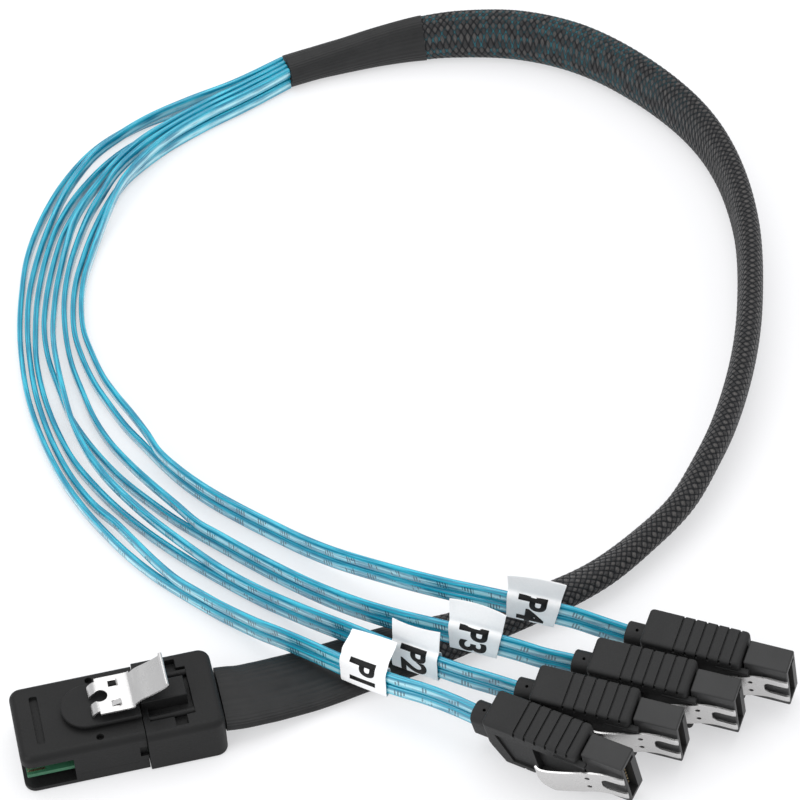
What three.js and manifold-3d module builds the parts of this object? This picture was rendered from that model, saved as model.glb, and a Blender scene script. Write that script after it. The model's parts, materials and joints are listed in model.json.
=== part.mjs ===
// Breakout cable: one wide host plug, a flat ribbon that turns into a braided
// sleeve, a breakout tube and four pairs of flat leads, each ending in a small
// drive plug with a spring latch. Units are millimetres, +Z is up, the floor
// is z = 0 and the origin lies under the middle of the plugs.
import * as THREE from 'three';
import { mergeVertices } from 'three/addons/utils/BufferGeometryUtils.js';
import Module from 'manifold-3d';

const wasm = await Module();
wasm.setup();

// Moves the whole layout so that the origin lies under the middle of the plugs.
const TO_ORIGIN = [4.27, 6.45, 0];

// Clearances shared by every piece.
const GAP = 0.3;
const OVER = 1;
const DEGREE = Math.PI / 180;

// Host plug, measured from its mating front (x = 0) to its cable end.
const HOST_AT = [-83.7, -4.2, 0];
const HOST_YAW = 11.2;
const HOST_LENGTH = 42;
const HOST_HEIGHT = 10.6;
const HOST_WIDTH = 19.4;
const HOST_WALL = 1.25;
const HOST_FLOOR = 1.3;
const HOST_EDGE = 1.6;
const HOST_CORNER = 2.4;
const MOUTH_LENGTH = 10.5;
const SEAM_X = 25.6;
const COVER_WIDTH = 20.8;
const COVER_CORNER = 2.5;
const CARD_THICK = 0.9;
const CARD_FRONT = 0.8;
const CARD_REAR = 33;
const CARD_BOTTOM = 3.1;
const ROOF_BOTTOM = 7.8;
const TRAY_TOP = CARD_BOTTOM - GAP;
const ROOF_SLOT = { x: 4.8, long: 12.5, wide: 1.7, deep: 0.8 };
const PIN_HOLE = { x: 16.6, y: 7.5, radius: 0.8, deep: 1.2 };
const PLATEAU = { apex: 9.8, wide: 11, top: 12.2, cap: 0.7, undercut: 0.6 };
const DECK = { front: 27.1, rear: 36.4, wide: 12.4, deep: 1.3 };
const GUIDE = { rear: 35.5, wide: 5.2, top: 12.4 };
const SIDE_POCKET = { front: 32.1, rear: 34.6, out: 8.6, deep: 1.6 };
const RAIL = { y: 5.1, radius: 0.75 };
const NOTCH = { long: 1.6, deep: 0.8, low: 4.4, high: 7.2 };
const WIRE_BLOCK = { front: 31, rear: 38.2, wide: 14.8, clear: 0.5 };
const POCKET = { rear: 38.6, low: 1.5, roof: 1.8 };
const POCKET_TOP = HOST_HEIGHT - POCKET.roof;

// Spring latch of the host plug.
const HOST_LATCH = { thick: 0.4, plateWide: 9.4, tabWide: 8.4, pivotX: 16, footZ: 12.75 };
const HOST_LATCH_PATH = [
  [16.0, 12.75], [16.5, 13.4], [17.3, 13.9], [19.5, 14.0], [22.0, 14.0], [24.4, 14.1],
  [25.2, 14.6], [26.0, 15.3], [28.6, 16.4], [31.0, 17.6], [31.7, 18.1], [31.8, 18.6], [31.4, 18.8],
];
const LATCH_BARB = { x: 20.4, y: 2.6, long: 2.2, wide: 1.5, tall: 0.5 };
const LATCH_NOTCH = { rear: 18.2, half: 1.1, eye: 1.5 };

// Drive plug, measured from the rear of its strain relief (x = 0).
const RELIEF = { long: 4.4, thick: 5.2, tall: 8.4, edge: 2.1, root: 2.4 };
const MOLD = { front: 25.8, thick: 8.4, tall: 15.5, edge: 1.0, corner: 0.8 };
const MOLD_MIDDLE = MOLD.tall / 2;
const GROOVE = { count: 6, first: 11.8, pitch: 2.4, wide: 0.55, deep: 0.5, wrap: 1.2 };
const HEEL = { x: 7.8, z: 7.2, top: 5 };
const PANEL = { rear: 6.9, front: 14.9, low: 2.2, high: 12, slant: 2.6, deep: 0.5 };
const WELL = { rear: 15.6, front: 27, low: 2.6, high: 12, deep: 1.6 };
const RAIL_BAR = { rear: 20.5, front: 27.6, low: 12.2, high: 13.2, out: 4.45, in: 3.1 };
const NOSE = { rear: 26.1, front: 35.3, thick: 5.4, tall: 13.8, edge: 0.5 };
const TANG = { rear: 21.4, thick: 3.4, tall: 9.6 };
const MOUTH = { near: -1.9, far: 0.7, tall: 11.6, deep: 7, leg: 1.1, legTall: 2.2 };
const COMB = { rear: 28.6, front: 29.6, tip: 33.8, pitch: 1.27, beams: 7, wide: 0.7, thick: 0.35, y: 0.1 };
const DRIVE_LATCH = { thick: 0.4, tall: 7.6, prong: 1.9, slotRear: 30.5, pivotX: 34.6, pivotY: -3.4 };
const DRIVE_LATCH_PATH = [
  [35.5, -3.15], [34.9, -3.35], [34, -3.45], [31, -3.75], [28.4, -4.4], [25.7, -5.5],
  [22.4, -6.7], [20, -7.4], [18.6, -7.5], [17.6, -7.1],
];
const LATCH_TAPER = { x: 21, low: 1.6 };

// Where each drive plug lies: rear of the strain relief, heading, nose lift,
// lean, and how far its neighbour already presses its latch in.
const DRIVE_PLUGS = [
  { at: [10.4, -5.8], yaw: -32.4, pitch: -4, lean: 13, pressed: 0 },
  { at: [19, -0.6], yaw: -23.8, pitch: -3, lean: 12, pressed: 6 },
  { at: [31.1, 5.8], yaw: -23.6, pitch: -3, lean: 12, pressed: 6 },
  { at: [42.6, 12.6], yaw: -24.2, pitch: -3, lean: 12, pressed: 6 },
];

// Flat leads standing on edge: two stacked leads share one way to a plug.
const LEAD = { thick: 1.3, tall: 3.0, edge: 0.4, rise: 3.4, pieces: 54 };
const LEAD_PAIRS = [
  [
    [10.1, -5.6, 6.2], [5.5, -2.7, 6.3], [0, 0.4, 6.3], [-6.1, 3.2, 6.3], [-12.2, 6.4, 6.3],
    [-18.4, 10.3, 6.2], [-24, 14.4, 5.7], [-29.8, 19, 4.4], [-34.1, 22.6, 3],
    [-38.3, 26.1, 2.1], [-42.6, 29.5, 1.7], [-46.8, 32.9, 1.7], [-51.1, 36.5, 1.7],
  ],
  [
    [18.7, -0.4, 6.5], [13.5, 2.1, 6.5], [8.5, 4.4, 6.5], [3.3, 7.1, 6.5], [-2.8, 10.4, 6.4],
    [-8.9, 14, 6.2], [-15.1, 18.2, 5.6], [-21.3, 22.9, 4.2], [-27.7, 28.1, 2.6],
    [-33, 32.2, 1.8], [-38.3, 36.2, 1.7],
  ],
  [
    [30.8, 6.1, 6.1], [25, 7.8, 6.6], [19.9, 9.4, 7.6], [13.9, 11.2, 8.6], [7.8, 13.3, 9],
    [1.7, 16, 8.6], [-4.5, 19.4, 7.4], [-10.7, 23.5, 5.8], [-17, 28.2, 4.2],
    [-23.3, 33.3, 2.8], [-29.7, 38.6, 1.9], [-36.1, 43.7, 1.7], [-42.6, 49, 1.7],
    [-47, 52.6, 1.7],
  ],
  [
    [42.3, 12.9, 6.5], [36.9, 14.9, 7.4], [31.7, 16.3, 8.9], [25.6, 17.6, 10.2], [18.5, 19.6, 11],
    [12.4, 22, 10.8], [6.3, 25, 9.8], [0.1, 28.8, 8.2], [-6.1, 33, 6.4],
    [-12.4, 37.4, 4.6], [-18.8, 42, 3], [-25.3, 46.9, 2], [-31.7, 51.8, 1.7],
    [-38.3, 56.8, 1.7], [-44.8, 62.2, 1.7], [-50.8, 68.2, 1.7], [-55.8, 74.5, 1.7],
  ],
];
const LOWER_LEADS = [
  [
    [-56.4, 41.2, 1.7], [-61.8, 47, 1.7], [-67.2, 53.9, 1.7], [-72.6, 61.9, 1.7],
    [-77.2, 70.2, 1.7], [-81, 79, 1.7], [-84.2, 88.4, 1.7], [-86.6, 97.7, 1.7],
    [-88.4, 109, 1.7], [-89.3, 119.3, 1.7], [-89.4, 129.4, 1.7], [-88.6, 143, 1.7],
    [-85.6, 156.4, 1.7], [-80.6, 169.3, 1.7], [-73.4, 180.6, 1.7], [-62.9, 189.4, 1.7],
    [-50.4, 195.2, 1.7], [-39.4, 199.6, 1.8], [-27, 206.8, 1.9],
  ],
  [
    [-42.6, 39.6, 1.7], [-47.2, 43.4, 1.7], [-52.4, 48, 1.7], [-58.6, 54, 1.7],
    [-65.2, 61.4, 1.7], [-70.5, 68.6, 1.7], [-75.4, 76.5, 1.7], [-78.9, 84.7, 1.7],
    [-81.5, 92.4, 1.7], [-83.4, 99.8, 1.7], [-85, 109, 1.7], [-85.6, 118.6, 1.7],
    [-85.6, 127.4, 1.7], [-85, 135.5, 1.7], [-84, 143.3, 1.7], [-82.2, 152, 1.7],
    [-78.9, 161.2, 1.7], [-74.9, 168.6, 1.7], [-70.6, 174.9, 1.7], [-65.4, 180.4, 1.7],
    [-58.4, 185.5, 1.7], [-48, 190.8, 1.7], [-38, 197.4, 1.8], [-26.5, 205.3, 1.9],
  ],
  [
    [-52.2, 57, 1.7], [-58.5, 63.3, 1.7], [-64, 69.4, 1.7], [-68.8, 76, 1.7],
    [-73, 82.9, 1.7], [-76.7, 90.5, 1.7], [-79.6, 99.5, 1.7], [-82.3, 109.3, 1.7],
    [-83.6, 119, 1.7], [-83.5, 128, 1.7], [-82.9, 135.2, 1.7], [-81.9, 142.4, 1.7],
    [-80.3, 150.3, 1.7], [-76.9, 159.6, 1.7], [-72.9, 167.3, 1.7], [-69, 173.2, 1.7],
    [-64.2, 178.4, 1.7], [-57.4, 183.6, 1.7], [-47.2, 189.4, 1.7], [-37.2, 196, 1.8],
    [-26, 203.8, 1.9],
  ],
  [
    [-59.3, 79.5, 1.7], [-63.9, 86.1, 1.7], [-67.9, 93.3, 1.7], [-71.5, 100.5, 1.7],
    [-74.5, 108.8, 1.7], [-76.5, 117, 1.7], [-77.1, 126.8, 1.7], [-76.6, 134.5, 1.7],
    [-75.4, 141.3, 1.7], [-73.7, 148.8, 1.7], [-71.3, 156.8, 1.7], [-68.8, 163.3, 1.7],
    [-65.6, 169.6, 1.7], [-61.3, 175, 1.7], [-55.5, 180.9, 1.7], [-46.4, 188, 1.7],
    [-36.3, 194.6, 1.8], [-25.5, 202.3, 1.9],
  ],
];
const UPPER_LEADS = [
  [
    [-55.6, 41.6, 5.1], [-60.4, 48, 5], [-65.1, 55.3, 3.6], [-70.4, 62.6, 2],
    [-75.2, 70.6, 1.7], [-79.1, 79.2, 1.7], [-82.3, 88.6, 1.7], [-84.8, 98.4, 1.7],
    [-86.6, 109.7, 1.7], [-87.5, 119.2, 1.7], [-87.6, 129.2, 1.7], [-86.8, 138, 1.7],
    [-85.4, 146.6, 1.7], [-83.6, 154, 2], [-80.9, 162.2, 3], [-77.4, 168.9, 4.3],
    [-73.2, 175.4, 5.1], [-67.8, 181.4, 5.1], [-60.4, 187.6, 5.1], [-50.2, 193.6, 5.1],
    [-39.2, 199, 5.2], [-27, 206.8, 5.3],
  ],
  [
    [-42.6, 39.8, 5.1], [-47, 44, 5.1], [-51.9, 49, 5.1], [-57.5, 55, 5.1],
    [-63.2, 61.9, 5.1], [-68.2, 69, 5.1], [-72.2, 76.4, 5.1], [-75.5, 85.2, 5.1],
    [-77.8, 94.6, 5.1], [-79.6, 103.6, 5.1], [-80.7, 110.5, 4.2], [-81.4, 118, 2.6],
    [-81.5, 125, 1.8], [-81.2, 132, 1.7], [-80.4, 139, 2], [-79.2, 145.6, 3.2],
    [-77.6, 151.6, 4.8], [-75.4, 157.6, 5.1], [-72.6, 163.4, 5.1], [-69.4, 169.4, 5.1],
    [-65.6, 175, 5.1], [-61.4, 180, 5.1], [-56, 184.6, 5.1], [-48, 190.8, 5.1],
    [-38, 197.4, 5.2], [-26.5, 205.3, 5.3],
  ],
  [
    [-51.7, 58.2, 5.1], [-57.6, 65.6, 4.6], [-62.8, 73.4, 3.2], [-67.2, 80.9, 2],
    [-71, 88.8, 1.7], [-74.1, 97.8, 1.7], [-76.7, 106.3, 1.7], [-78.4, 115.5, 1.7],
    [-79.2, 125, 1.7], [-79.1, 132, 1.7], [-78.2, 140.5, 1.7], [-76.5, 149, 1.8],
    [-74.2, 156.4, 2.6], [-71.2, 162.2, 3.9], [-68.4, 167.4, 5.1], [-65.2, 172.6, 5.1],
    [-61.6, 177, 5.1], [-56.4, 182, 5.1], [-47.2, 189.4, 5.1], [-37.2, 196, 5.2],
    [-26, 203.8, 5.3],
  ],
  [
    [-58.5, 80, 5.1], [-62.2, 87.3, 4.3], [-66, 94.6, 3], [-69.4, 101.9, 1.9],
    [-72.3, 110, 1.7], [-74.4, 117.6, 1.7], [-75.2, 127, 1.7], [-74.7, 136, 1.7],
    [-73.4, 142.9, 1.7], [-71.6, 149.8, 2.5], [-69.2, 157.2, 4], [-66.4, 164.4, 5.1],
    [-63.4, 170.1, 5.1], [-59.9, 175.2, 5.1], [-54.9, 180.9, 5.1], [-46.4, 188, 5.1],
    [-36.3, 194.6, 5.2], [-25.5, 202.3, 5.3],
  ],
];

// Sleeve from the host plug: place on the table, lift above rest, width,
// thickness and how far the flat section has turned onto its edge.
const SLEEVE = [
  [-42.2, 4.1, 3.6, 16.4, 3.2, 0], [-38.1, 4.9, 3.1, 16.4, 3.2, 0], [-33.7, 6.6, 2, 16.4, 3.2, 0],
  [-28.9, 8.6, 1, 16.2, 3.2, 0], [-24.8, 10.2, 0.4, 16, 3.2, 0], [-19.5, 12.1, 0.2, 15.6, 3.3, 0],
  [-14.3, 13.9, 0.2, 15, 3.4, 0], [-9, 15.6, 0.2, 14.5, 3.6, 0], [-3.7, 17.1, 0.2, 14, 3.9, 0],
  [1.6, 18.6, 0.2, 13, 4.2, 2], [7, 20.2, 0.2, 12, 4.5, 5], [12.3, 21.9, 0.2, 11, 5, 9],
  [17.7, 23.8, 0.2, 10, 5.4, 13], [23.1, 25.9, 0.2, 9.5, 5.6, 18], [29.6, 28.6, 0.2, 9.3, 5.7, 26],
  [38.4, 33.4, 0.2, 9.3, 5.8, 38], [47.7, 41, 0.2, 9.6, 5.8, 52], [57.2, 50.8, 0.2, 10.4, 5.8, 64],
  [64, 62.2, 0.2, 11.6, 5.8, 72], [69.5, 73.7, 0.2, 12.5, 5.8, 78], [75.5, 91.8, 0.2, 13.4, 5.8, 84],
  [79.3, 110.9, 0.2, 13.8, 5.8, 88], [81.2, 135.7, 0.2, 14, 5.8, 90], [78.6, 157.6, 0.2, 14.2, 5.8, 90],
  [72.7, 173.6, 0.2, 14.5, 5.9, 90], [61.2, 190.1, 0.2, 14.8, 6, 90], [47.5, 202.6, 0.2, 15, 6, 90],
  [32.9, 209.4, 0.2, 14.8, 5.9, 90], [17.9, 211.6, 0.2, 14, 5.8, 90], [7.8, 211.5, 0.2, 12.8, 5.8, 90],
  [-2.4, 210.4, 0.2, 10.8, 6, 90], [-11.3, 208.7, 0.2, 9, 6.4, 90], [-18.9, 207, 0.2, 7.8, 6.9, 90],
  [-25.9, 204.65, 0.2, 7.4, 7.3, 90],
];
const RIBBON_END = 0.132;
const BRAID_END = 0.873;
const SLEEVE_PIECES = { ribbon: 12, braid: 46, tube: 12 };

// Folded paper flags around each pair, with where they sit along it.
const FLAG = { long: 10.5, wall: 0.3, tall: 13.9, pieces: 3 };
const FLAG_PLACES = [25.2, 22.4, 21, 20.3];

// Helpers

function solidOf(geometry) {
  const bare = geometry.clone();
  bare.deleteAttribute('normal');
  bare.deleteAttribute('uv');
  const welded = mergeVertices(bare, 1e-4);
  return new wasm.Manifold(new wasm.Mesh({
    numProp: 3,
    vertProperties: Float32Array.from(welded.attributes.position.array),
    triVerts: Uint32Array.from(welded.index.array),
  }));
}

function geometryOf(solid) {
  const mesh = solid.getMesh();
  const geometry = new THREE.BufferGeometry();
  geometry.setAttribute('position', new THREE.BufferAttribute(Float32Array.from(mesh.vertProperties), 3));
  geometry.setIndex(new THREE.BufferAttribute(Uint32Array.from(mesh.triVerts), 1));
  geometry.computeVertexNormals();
  return geometry;
}

function box(low, high) {
  const size = high.map((value, i) => value - low[i]);
  const middle = high.map((value, i) => (value + low[i]) / 2);
  return solidOf(new THREE.BoxGeometry(...size).translate(...middle));
}

function roundedRect(wide, tall, radius) {
  const x = wide / 2;
  const y = tall / 2;
  const shape = new THREE.Shape();
  shape.moveTo(-x + radius, -y);
  shape.lineTo(x - radius, -y);
  shape.absarc(x - radius, -y + radius, radius, -Math.PI / 2, 0);
  shape.lineTo(x, y - radius);
  shape.absarc(x - radius, y - radius, radius, 0, Math.PI / 2);
  shape.lineTo(-x + radius, y);
  shape.absarc(-x + radius, y - radius, radius, Math.PI / 2, Math.PI);
  shape.lineTo(-x, -y + radius);
  shape.absarc(-x + radius, -y + radius, radius, Math.PI, Math.PI * 1.5);
  return shape;
}

function upright(shape, low, high, curveSegments = 3) {
  const settings = { depth: high - low, bevelEnabled: false, curveSegments };
  return solidOf(new THREE.ExtrudeGeometry(shape, settings).translate(0, 0, low));
}

// A section drawn across (y, z), run along x.
function alongX(shape, front, rear, curveSegments = 3) {
  const settings = { depth: rear - front, bevelEnabled: false, curveSegments };
  const turned = new THREE.Matrix4().set(0, 0, 1, front, 1, 0, 0, 0, 0, 1, 0, 0, 0, 0, 0, 1);
  return solidOf(new THREE.ExtrudeGeometry(shape, settings).applyMatrix4(turned));
}

// A block with rounded long edges and rounded corners seen from above.
function softBlock(low, high, edge, corner) {
  const size = high.map((value, i) => value - low[i]);
  const middle = high.map((value, i) => (value + low[i]) / 2);
  const section = alongX(roundedRect(size[1], size[2], edge), low[0], high[0])
    .translate([0, middle[1], middle[2]]);
  const plan = upright(roundedRect(size[0], size[1], corner), low[2], high[2])
    .translate([middle[0], middle[1], 0]);
  return section.intersect(plan);
}

function stripOutline(path, thickness) {
  const middle = path.map(([a, b]) => new THREE.Vector2(a, b));
  const left = [];
  const right = [];
  middle.forEach((point, i) => {
    const before = middle[Math.max(i - 1, 0)];
    const after = middle[Math.min(i + 1, middle.length - 1)];
    const along = after.clone().sub(before).normalize();
    const across = new THREE.Vector2(-along.y, along.x).multiplyScalar(thickness / 2);
    left.push(point.clone().add(across));
    right.unshift(point.clone().sub(across));
  });
  return new THREE.Shape([...left, ...right]);
}

function smoothRoute(points) {
  const vectors = points.map(([x, y, z]) => new THREE.Vector3(x, y, z));
  return new THREE.CatmullRomCurve3(vectors, false, 'centripetal');
}

// A shape run straight, then each ring laid on the route with its own width,
// thickness and turn, the section's first direction starting level.
function layAlong(shape, route, from, to, pieces, station) {
  const settings = { depth: 1, steps: pieces, bevelEnabled: false, curveSegments: 2 };
  const geometry = new THREE.ExtrudeGeometry(shape, settings);
  const place = geometry.attributes.position;
  const point = new THREE.Vector3();
  for (let i = 0; i < place.count; i += 1) {
    const share = from + (to - from) * place.getZ(i);
    const along = route.getTangentAt(share);
    const side = new THREE.Vector3(-along.y, along.x, 0).normalize();
    const up = along.clone().cross(side);
    const section = station(share);
    const x = place.getX(i) * section.wide;
    const y = place.getY(i) * section.tall;
    const cos = Math.cos(section.turn);
    const sin = Math.sin(section.turn);
    point.copy(route.getPointAt(share));
    point.addScaledVector(side, x * cos - y * sin);
    point.addScaledVector(up, x * sin + y * cos);
    place.setXYZ(i, point.x, point.y, point.z);
  }
  return geometry;
}

function plainSection() {
  return { wide: 1, tall: 1, turn: 0 };
}

function material(color, roughness, metalness) {
  return { color, roughness, metalness };
}

const BLACK_PLASTIC = material(0x222222, 0.62, 0);
const GREY_PLASTIC = material(0x3a3a38, 0.6, 0);
const STEEL = material(0xb9b9b4, 0.34, 1);
const GOLD = material(0xcaa55a, 0.35, 1);
const CARD_GREEN = material(0x2f5a3c, 0.5, 0);
const RESIN = material(0xd8d2c0, 0.6, 0);
const SHRINK = material(0x1b1b1b, 0.55, 0);
const BRAID = material(0x34363a, 0.7, 0);
const BLUE = material(0x2f6c9c, 0.25, 0);
const PAPER = material(0xf2f2ee, 0.7, 0);

const cable = new THREE.Group();
cable.name = 'breakout_cable';

function addMesh(name, geometry, look, placement) {
  if (placement) geometry.applyMatrix4(placement);
  geometry.translate(...TO_ORIGIN);
  geometry.computeVertexNormals();
  const mesh = new THREE.Mesh(geometry, new THREE.MeshStandardMaterial({ ...look }));
  mesh.name = name;
  cable.add(mesh);
  return mesh;
}

// The wide plug

function hostPlan(wide, front, rear) {
  const half = wide / 2;
  const shape = new THREE.Shape();
  shape.moveTo(front + HOST_CORNER, -half);
  shape.lineTo(rear, -half);
  shape.lineTo(rear, half);
  shape.lineTo(front + HOST_CORNER, half);
  shape.absarc(front + HOST_CORNER, half - HOST_CORNER, HOST_CORNER, Math.PI / 2, Math.PI);
  shape.absarc(front + HOST_CORNER, -half + HOST_CORNER, HOST_CORNER, Math.PI, Math.PI * 1.5);
  return shape;
}

function hostSection(wide) {
  const half = wide / 2;
  const shape = new THREE.Shape();
  shape.moveTo(-half, 0);
  shape.lineTo(half, 0);
  shape.lineTo(half, HOST_HEIGHT - HOST_EDGE);
  shape.absarc(half - HOST_EDGE, HOST_HEIGHT - HOST_EDGE, HOST_EDGE, 0, Math.PI / 2);
  shape.lineTo(-half + HOST_EDGE, HOST_HEIGHT);
  shape.absarc(-half + HOST_EDGE, HOST_HEIGHT - HOST_EDGE, HOST_EDGE, Math.PI / 2, Math.PI);
  return shape;
}

function plateauPlan(inset) {
  const half = PLATEAU.wide / 2 - inset;
  const centre = PLATEAU.apex + PLATEAU.wide / 2;
  const shape = new THREE.Shape();
  shape.moveTo(centre, -half);
  shape.lineTo(SEAM_X, -half);
  shape.lineTo(SEAM_X, half);
  shape.lineTo(centre, half);
  shape.absarc(centre, 0, half, Math.PI / 2, Math.PI * 1.5);
  return shape;
}

function hostUpperShell() {
  const inner = HOST_WIDTH / 2 - HOST_WALL;
  const body = alongX(hostSection(HOST_WIDTH), 0, SEAM_X, 4)
    .intersect(upright(hostPlan(HOST_WIDTH, 0, SEAM_X), CARD_BOTTOM, HOST_HEIGHT, 4));
  const hollow = box([-OVER, -inner, 0], [SEAM_X + OVER, inner, ROOF_BOTTOM]);
  const window = box([-OVER, -HOST_WIDTH, 0], [MOUTH_LENGTH, HOST_WIDTH, ROOF_BOTTOM]);
  const slotLow = HOST_HEIGHT - ROOF_SLOT.deep;
  const slot = box(
    [ROOF_SLOT.x - ROOF_SLOT.wide / 2, -ROOF_SLOT.long / 2, slotLow],
    [ROOF_SLOT.x + ROOF_SLOT.wide / 2, ROOF_SLOT.long / 2, HOST_HEIGHT + OVER],
  );
  const shelf = upright(plateauPlan(PLATEAU.undercut), HOST_HEIGHT - OVER, PLATEAU.top - PLATEAU.cap, 5)
    .add(upright(plateauPlan(0), PLATEAU.top - PLATEAU.cap - 0.01, PLATEAU.top, 5));
  let shell = body.subtract(hollow).subtract(window).subtract(slot).add(shelf);
  for (const side of [-1, 1]) {
    const hole = new THREE.CylinderGeometry(PIN_HOLE.radius, PIN_HOLE.radius, PIN_HOLE.deep, 12)
      .rotateX(Math.PI / 2)
      .translate(PIN_HOLE.x, side * PIN_HOLE.y, HOST_HEIGHT - PIN_HOLE.deep / 2 + 0.1);
    shell = shell.subtract(solidOf(hole));
  }
  const step = box(
    [SEAM_X - NOTCH.long, -HOST_WIDTH, NOTCH.low],
    [SEAM_X + OVER, -HOST_WIDTH / 2 + NOTCH.deep, NOTCH.high],
  );
  return shell.subtract(step);
}

function hostLowerShell() {
  const inner = HOST_WIDTH / 2 - HOST_WALL;
  const body = alongX(hostSection(HOST_WIDTH), 0, SEAM_X, 4)
    .intersect(upright(hostPlan(HOST_WIDTH, 0, SEAM_X), 0, TRAY_TOP, 4));
  const hollow = box([-OVER, -inner, HOST_FLOOR], [SEAM_X + OVER, inner, HOST_HEIGHT]);
  const window = box([-OVER, -HOST_WIDTH, HOST_FLOOR], [MOUTH_LENGTH, HOST_WIDTH, HOST_HEIGHT]);
  return body.subtract(hollow).subtract(window);
}

function hostRearCover() {
  const front = SEAM_X + GAP;
  const half = COVER_WIDTH / 2;
  const plan = new THREE.Shape();
  plan.moveTo(front, -half);
  plan.lineTo(HOST_LENGTH - COVER_CORNER, -half);
  plan.absarc(HOST_LENGTH - COVER_CORNER, -half + COVER_CORNER, COVER_CORNER, -Math.PI / 2, 0);
  plan.absarc(HOST_LENGTH - COVER_CORNER, half - COVER_CORNER, COVER_CORNER, 0, Math.PI / 2);
  plan.lineTo(front, half);
  const body = alongX(hostSection(COVER_WIDTH), front, HOST_LENGTH, 4)
    .intersect(upright(plan, 0, HOST_HEIGHT, 4));
  const inner = HOST_WIDTH / 2 - HOST_WALL;
  const pocket = box([front - OVER, -inner, POCKET.low], [POCKET.rear, inner, POCKET_TOP]);
  const deckLow = HOST_HEIGHT - DECK.deep;
  const deck = box([DECK.front, -DECK.wide / 2, deckLow], [DECK.rear, DECK.wide / 2, HOST_HEIGHT + OVER]);
  const guide = softBlock(
    [front, -GUIDE.wide / 2, deckLow - 0.3],
    [GUIDE.rear, GUIDE.wide / 2, GUIDE.top],
    0.5,
    0.4,
  );
  let cover = body.subtract(pocket).subtract(deck).add(guide);
  for (const side of [-1, 1]) {
    const bar = new THREE.CylinderGeometry(RAIL.radius, RAIL.radius, DECK.rear - front, 10)
      .rotateZ(Math.PI / 2)
      .translate((DECK.rear + front) / 2, side * RAIL.y, HOST_HEIGHT - RAIL.radius);
    const inner = DECK.wide / 2 - 0.4;
    const pocketSide = box(
      [SIDE_POCKET.front, Math.min(side * inner, side * SIDE_POCKET.out), HOST_HEIGHT - SIDE_POCKET.deep],
      [SIDE_POCKET.rear, Math.max(side * inner, side * SIDE_POCKET.out), HOST_HEIGHT + OVER],
    );
    cover = cover.subtract(pocketSide).add(solidOf(bar));
  }
  return cover;
}

function hostLatch() {
  const half = HOST_LATCH.plateWide / 2;
  const curve = new THREE.SplineCurve(HOST_LATCH_PATH.map(([x, z]) => new THREE.Vector2(x, z)));
  const outline = stripOutline(curve.getPoints(26).map((p) => [p.x, p.y]), HOST_LATCH.thick);
  const settings = { depth: HOST_LATCH.plateWide, bevelEnabled: false };
  const strip = solidOf(new THREE.ExtrudeGeometry(outline, settings).rotateX(Math.PI / 2).translate(0, half, 0));
  const shoulder = (HOST_LATCH.plateWide - HOST_LATCH.tabWide) / 2;
  let latch = strip;
  for (const side of [-1, 1]) {
    const edge = side * (half - shoulder);
    const trim = box(
      [24.8, Math.min(edge, side * (half + OVER)), 12],
      [40, Math.max(edge, side * (half + OVER)), 22],
    );
    latch = latch.subtract(trim);
    const barb = new THREE.Shape([
      new THREE.Vector2(0, -0.3),
      new THREE.Vector2(LATCH_BARB.long, -0.3),
      new THREE.Vector2(LATCH_BARB.long, LATCH_BARB.tall),
    ]);
    const barbBody = new THREE.ExtrudeGeometry(barb, { depth: LATCH_BARB.wide, bevelEnabled: false })
      .rotateX(Math.PI / 2)
      .translate(LATCH_BARB.x, side * LATCH_BARB.y + LATCH_BARB.wide / 2, 14.2);
    latch = latch.add(solidOf(barbBody));
  }
  const notch = box([15, -LATCH_NOTCH.half, 12], [LATCH_NOTCH.rear, LATCH_NOTCH.half, 15]);
  const eye = new THREE.CylinderGeometry(LATCH_NOTCH.eye, LATCH_NOTCH.eye, 4, 12)
    .rotateX(Math.PI / 2)
    .translate(LATCH_NOTCH.rear, 0, 14);
  return latch.subtract(notch).subtract(solidOf(eye));
}

const hostPlace = new THREE.Matrix4()
  .makeRotationZ(HOST_YAW * DEGREE)
  .setPosition(...HOST_AT);
const cardHalf = HOST_WIDTH / 2 - HOST_WALL - GAP;
const cardTop = CARD_BOTTOM + CARD_THICK;
const wireHalf = WIRE_BLOCK.wide / 2;
const edgeCard = box([CARD_FRONT, -cardHalf, CARD_BOTTOM], [CARD_REAR, cardHalf, cardTop]);
const wireBlock = softBlock(
  [WIRE_BLOCK.front, -wireHalf, cardTop + GAP],
  [WIRE_BLOCK.rear, wireHalf, POCKET_TOP - WIRE_BLOCK.clear],
  0.6,
  0.6,
);
addMesh('host_upper_shell', geometryOf(hostUpperShell()), BLACK_PLASTIC, hostPlace);
addMesh('host_lower_shell', geometryOf(hostLowerShell()), BLACK_PLASTIC, hostPlace);
addMesh('host_rear_cover', geometryOf(hostRearCover()), BLACK_PLASTIC, hostPlace);
addMesh('host_edge_card', geometryOf(edgeCard), CARD_GREEN, hostPlace);
addMesh('host_wire_block', geometryOf(wireBlock), RESIN, hostPlace);
addMesh('host_latch', geometryOf(hostLatch()), STEEL, hostPlace);

// The sleeve

function restHeight(wide, thick, turn) {
  const raised = (wide / 2) * Math.sin(turn * DEGREE);
  const flat = (thick / 2) * Math.cos(turn * DEGREE);
  const corner = 0.03 * wide * Math.sin(2 * turn * DEGREE);
  return Math.hypot(raised, flat) + corner;
}

const sleeveRoute = smoothRoute(SLEEVE.map(([x, y, lift, wide, thick, turn]) => [
  x, y, lift + restHeight(wide, thick, turn),
]));

function sleeveSection(share) {
  const spot = sleeveRoute.getUtoTmapping(share) * (SLEEVE.length - 1);
  const index = Math.min(Math.floor(spot), SLEEVE.length - 2);
  const blend = spot - index;
  const mix = (column) => SLEEVE[index][column] * (1 - blend) + SLEEVE[index + 1][column] * blend;
  return { wide: mix(3), tall: mix(4), turn: -mix(5) * DEGREE };
}

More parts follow.
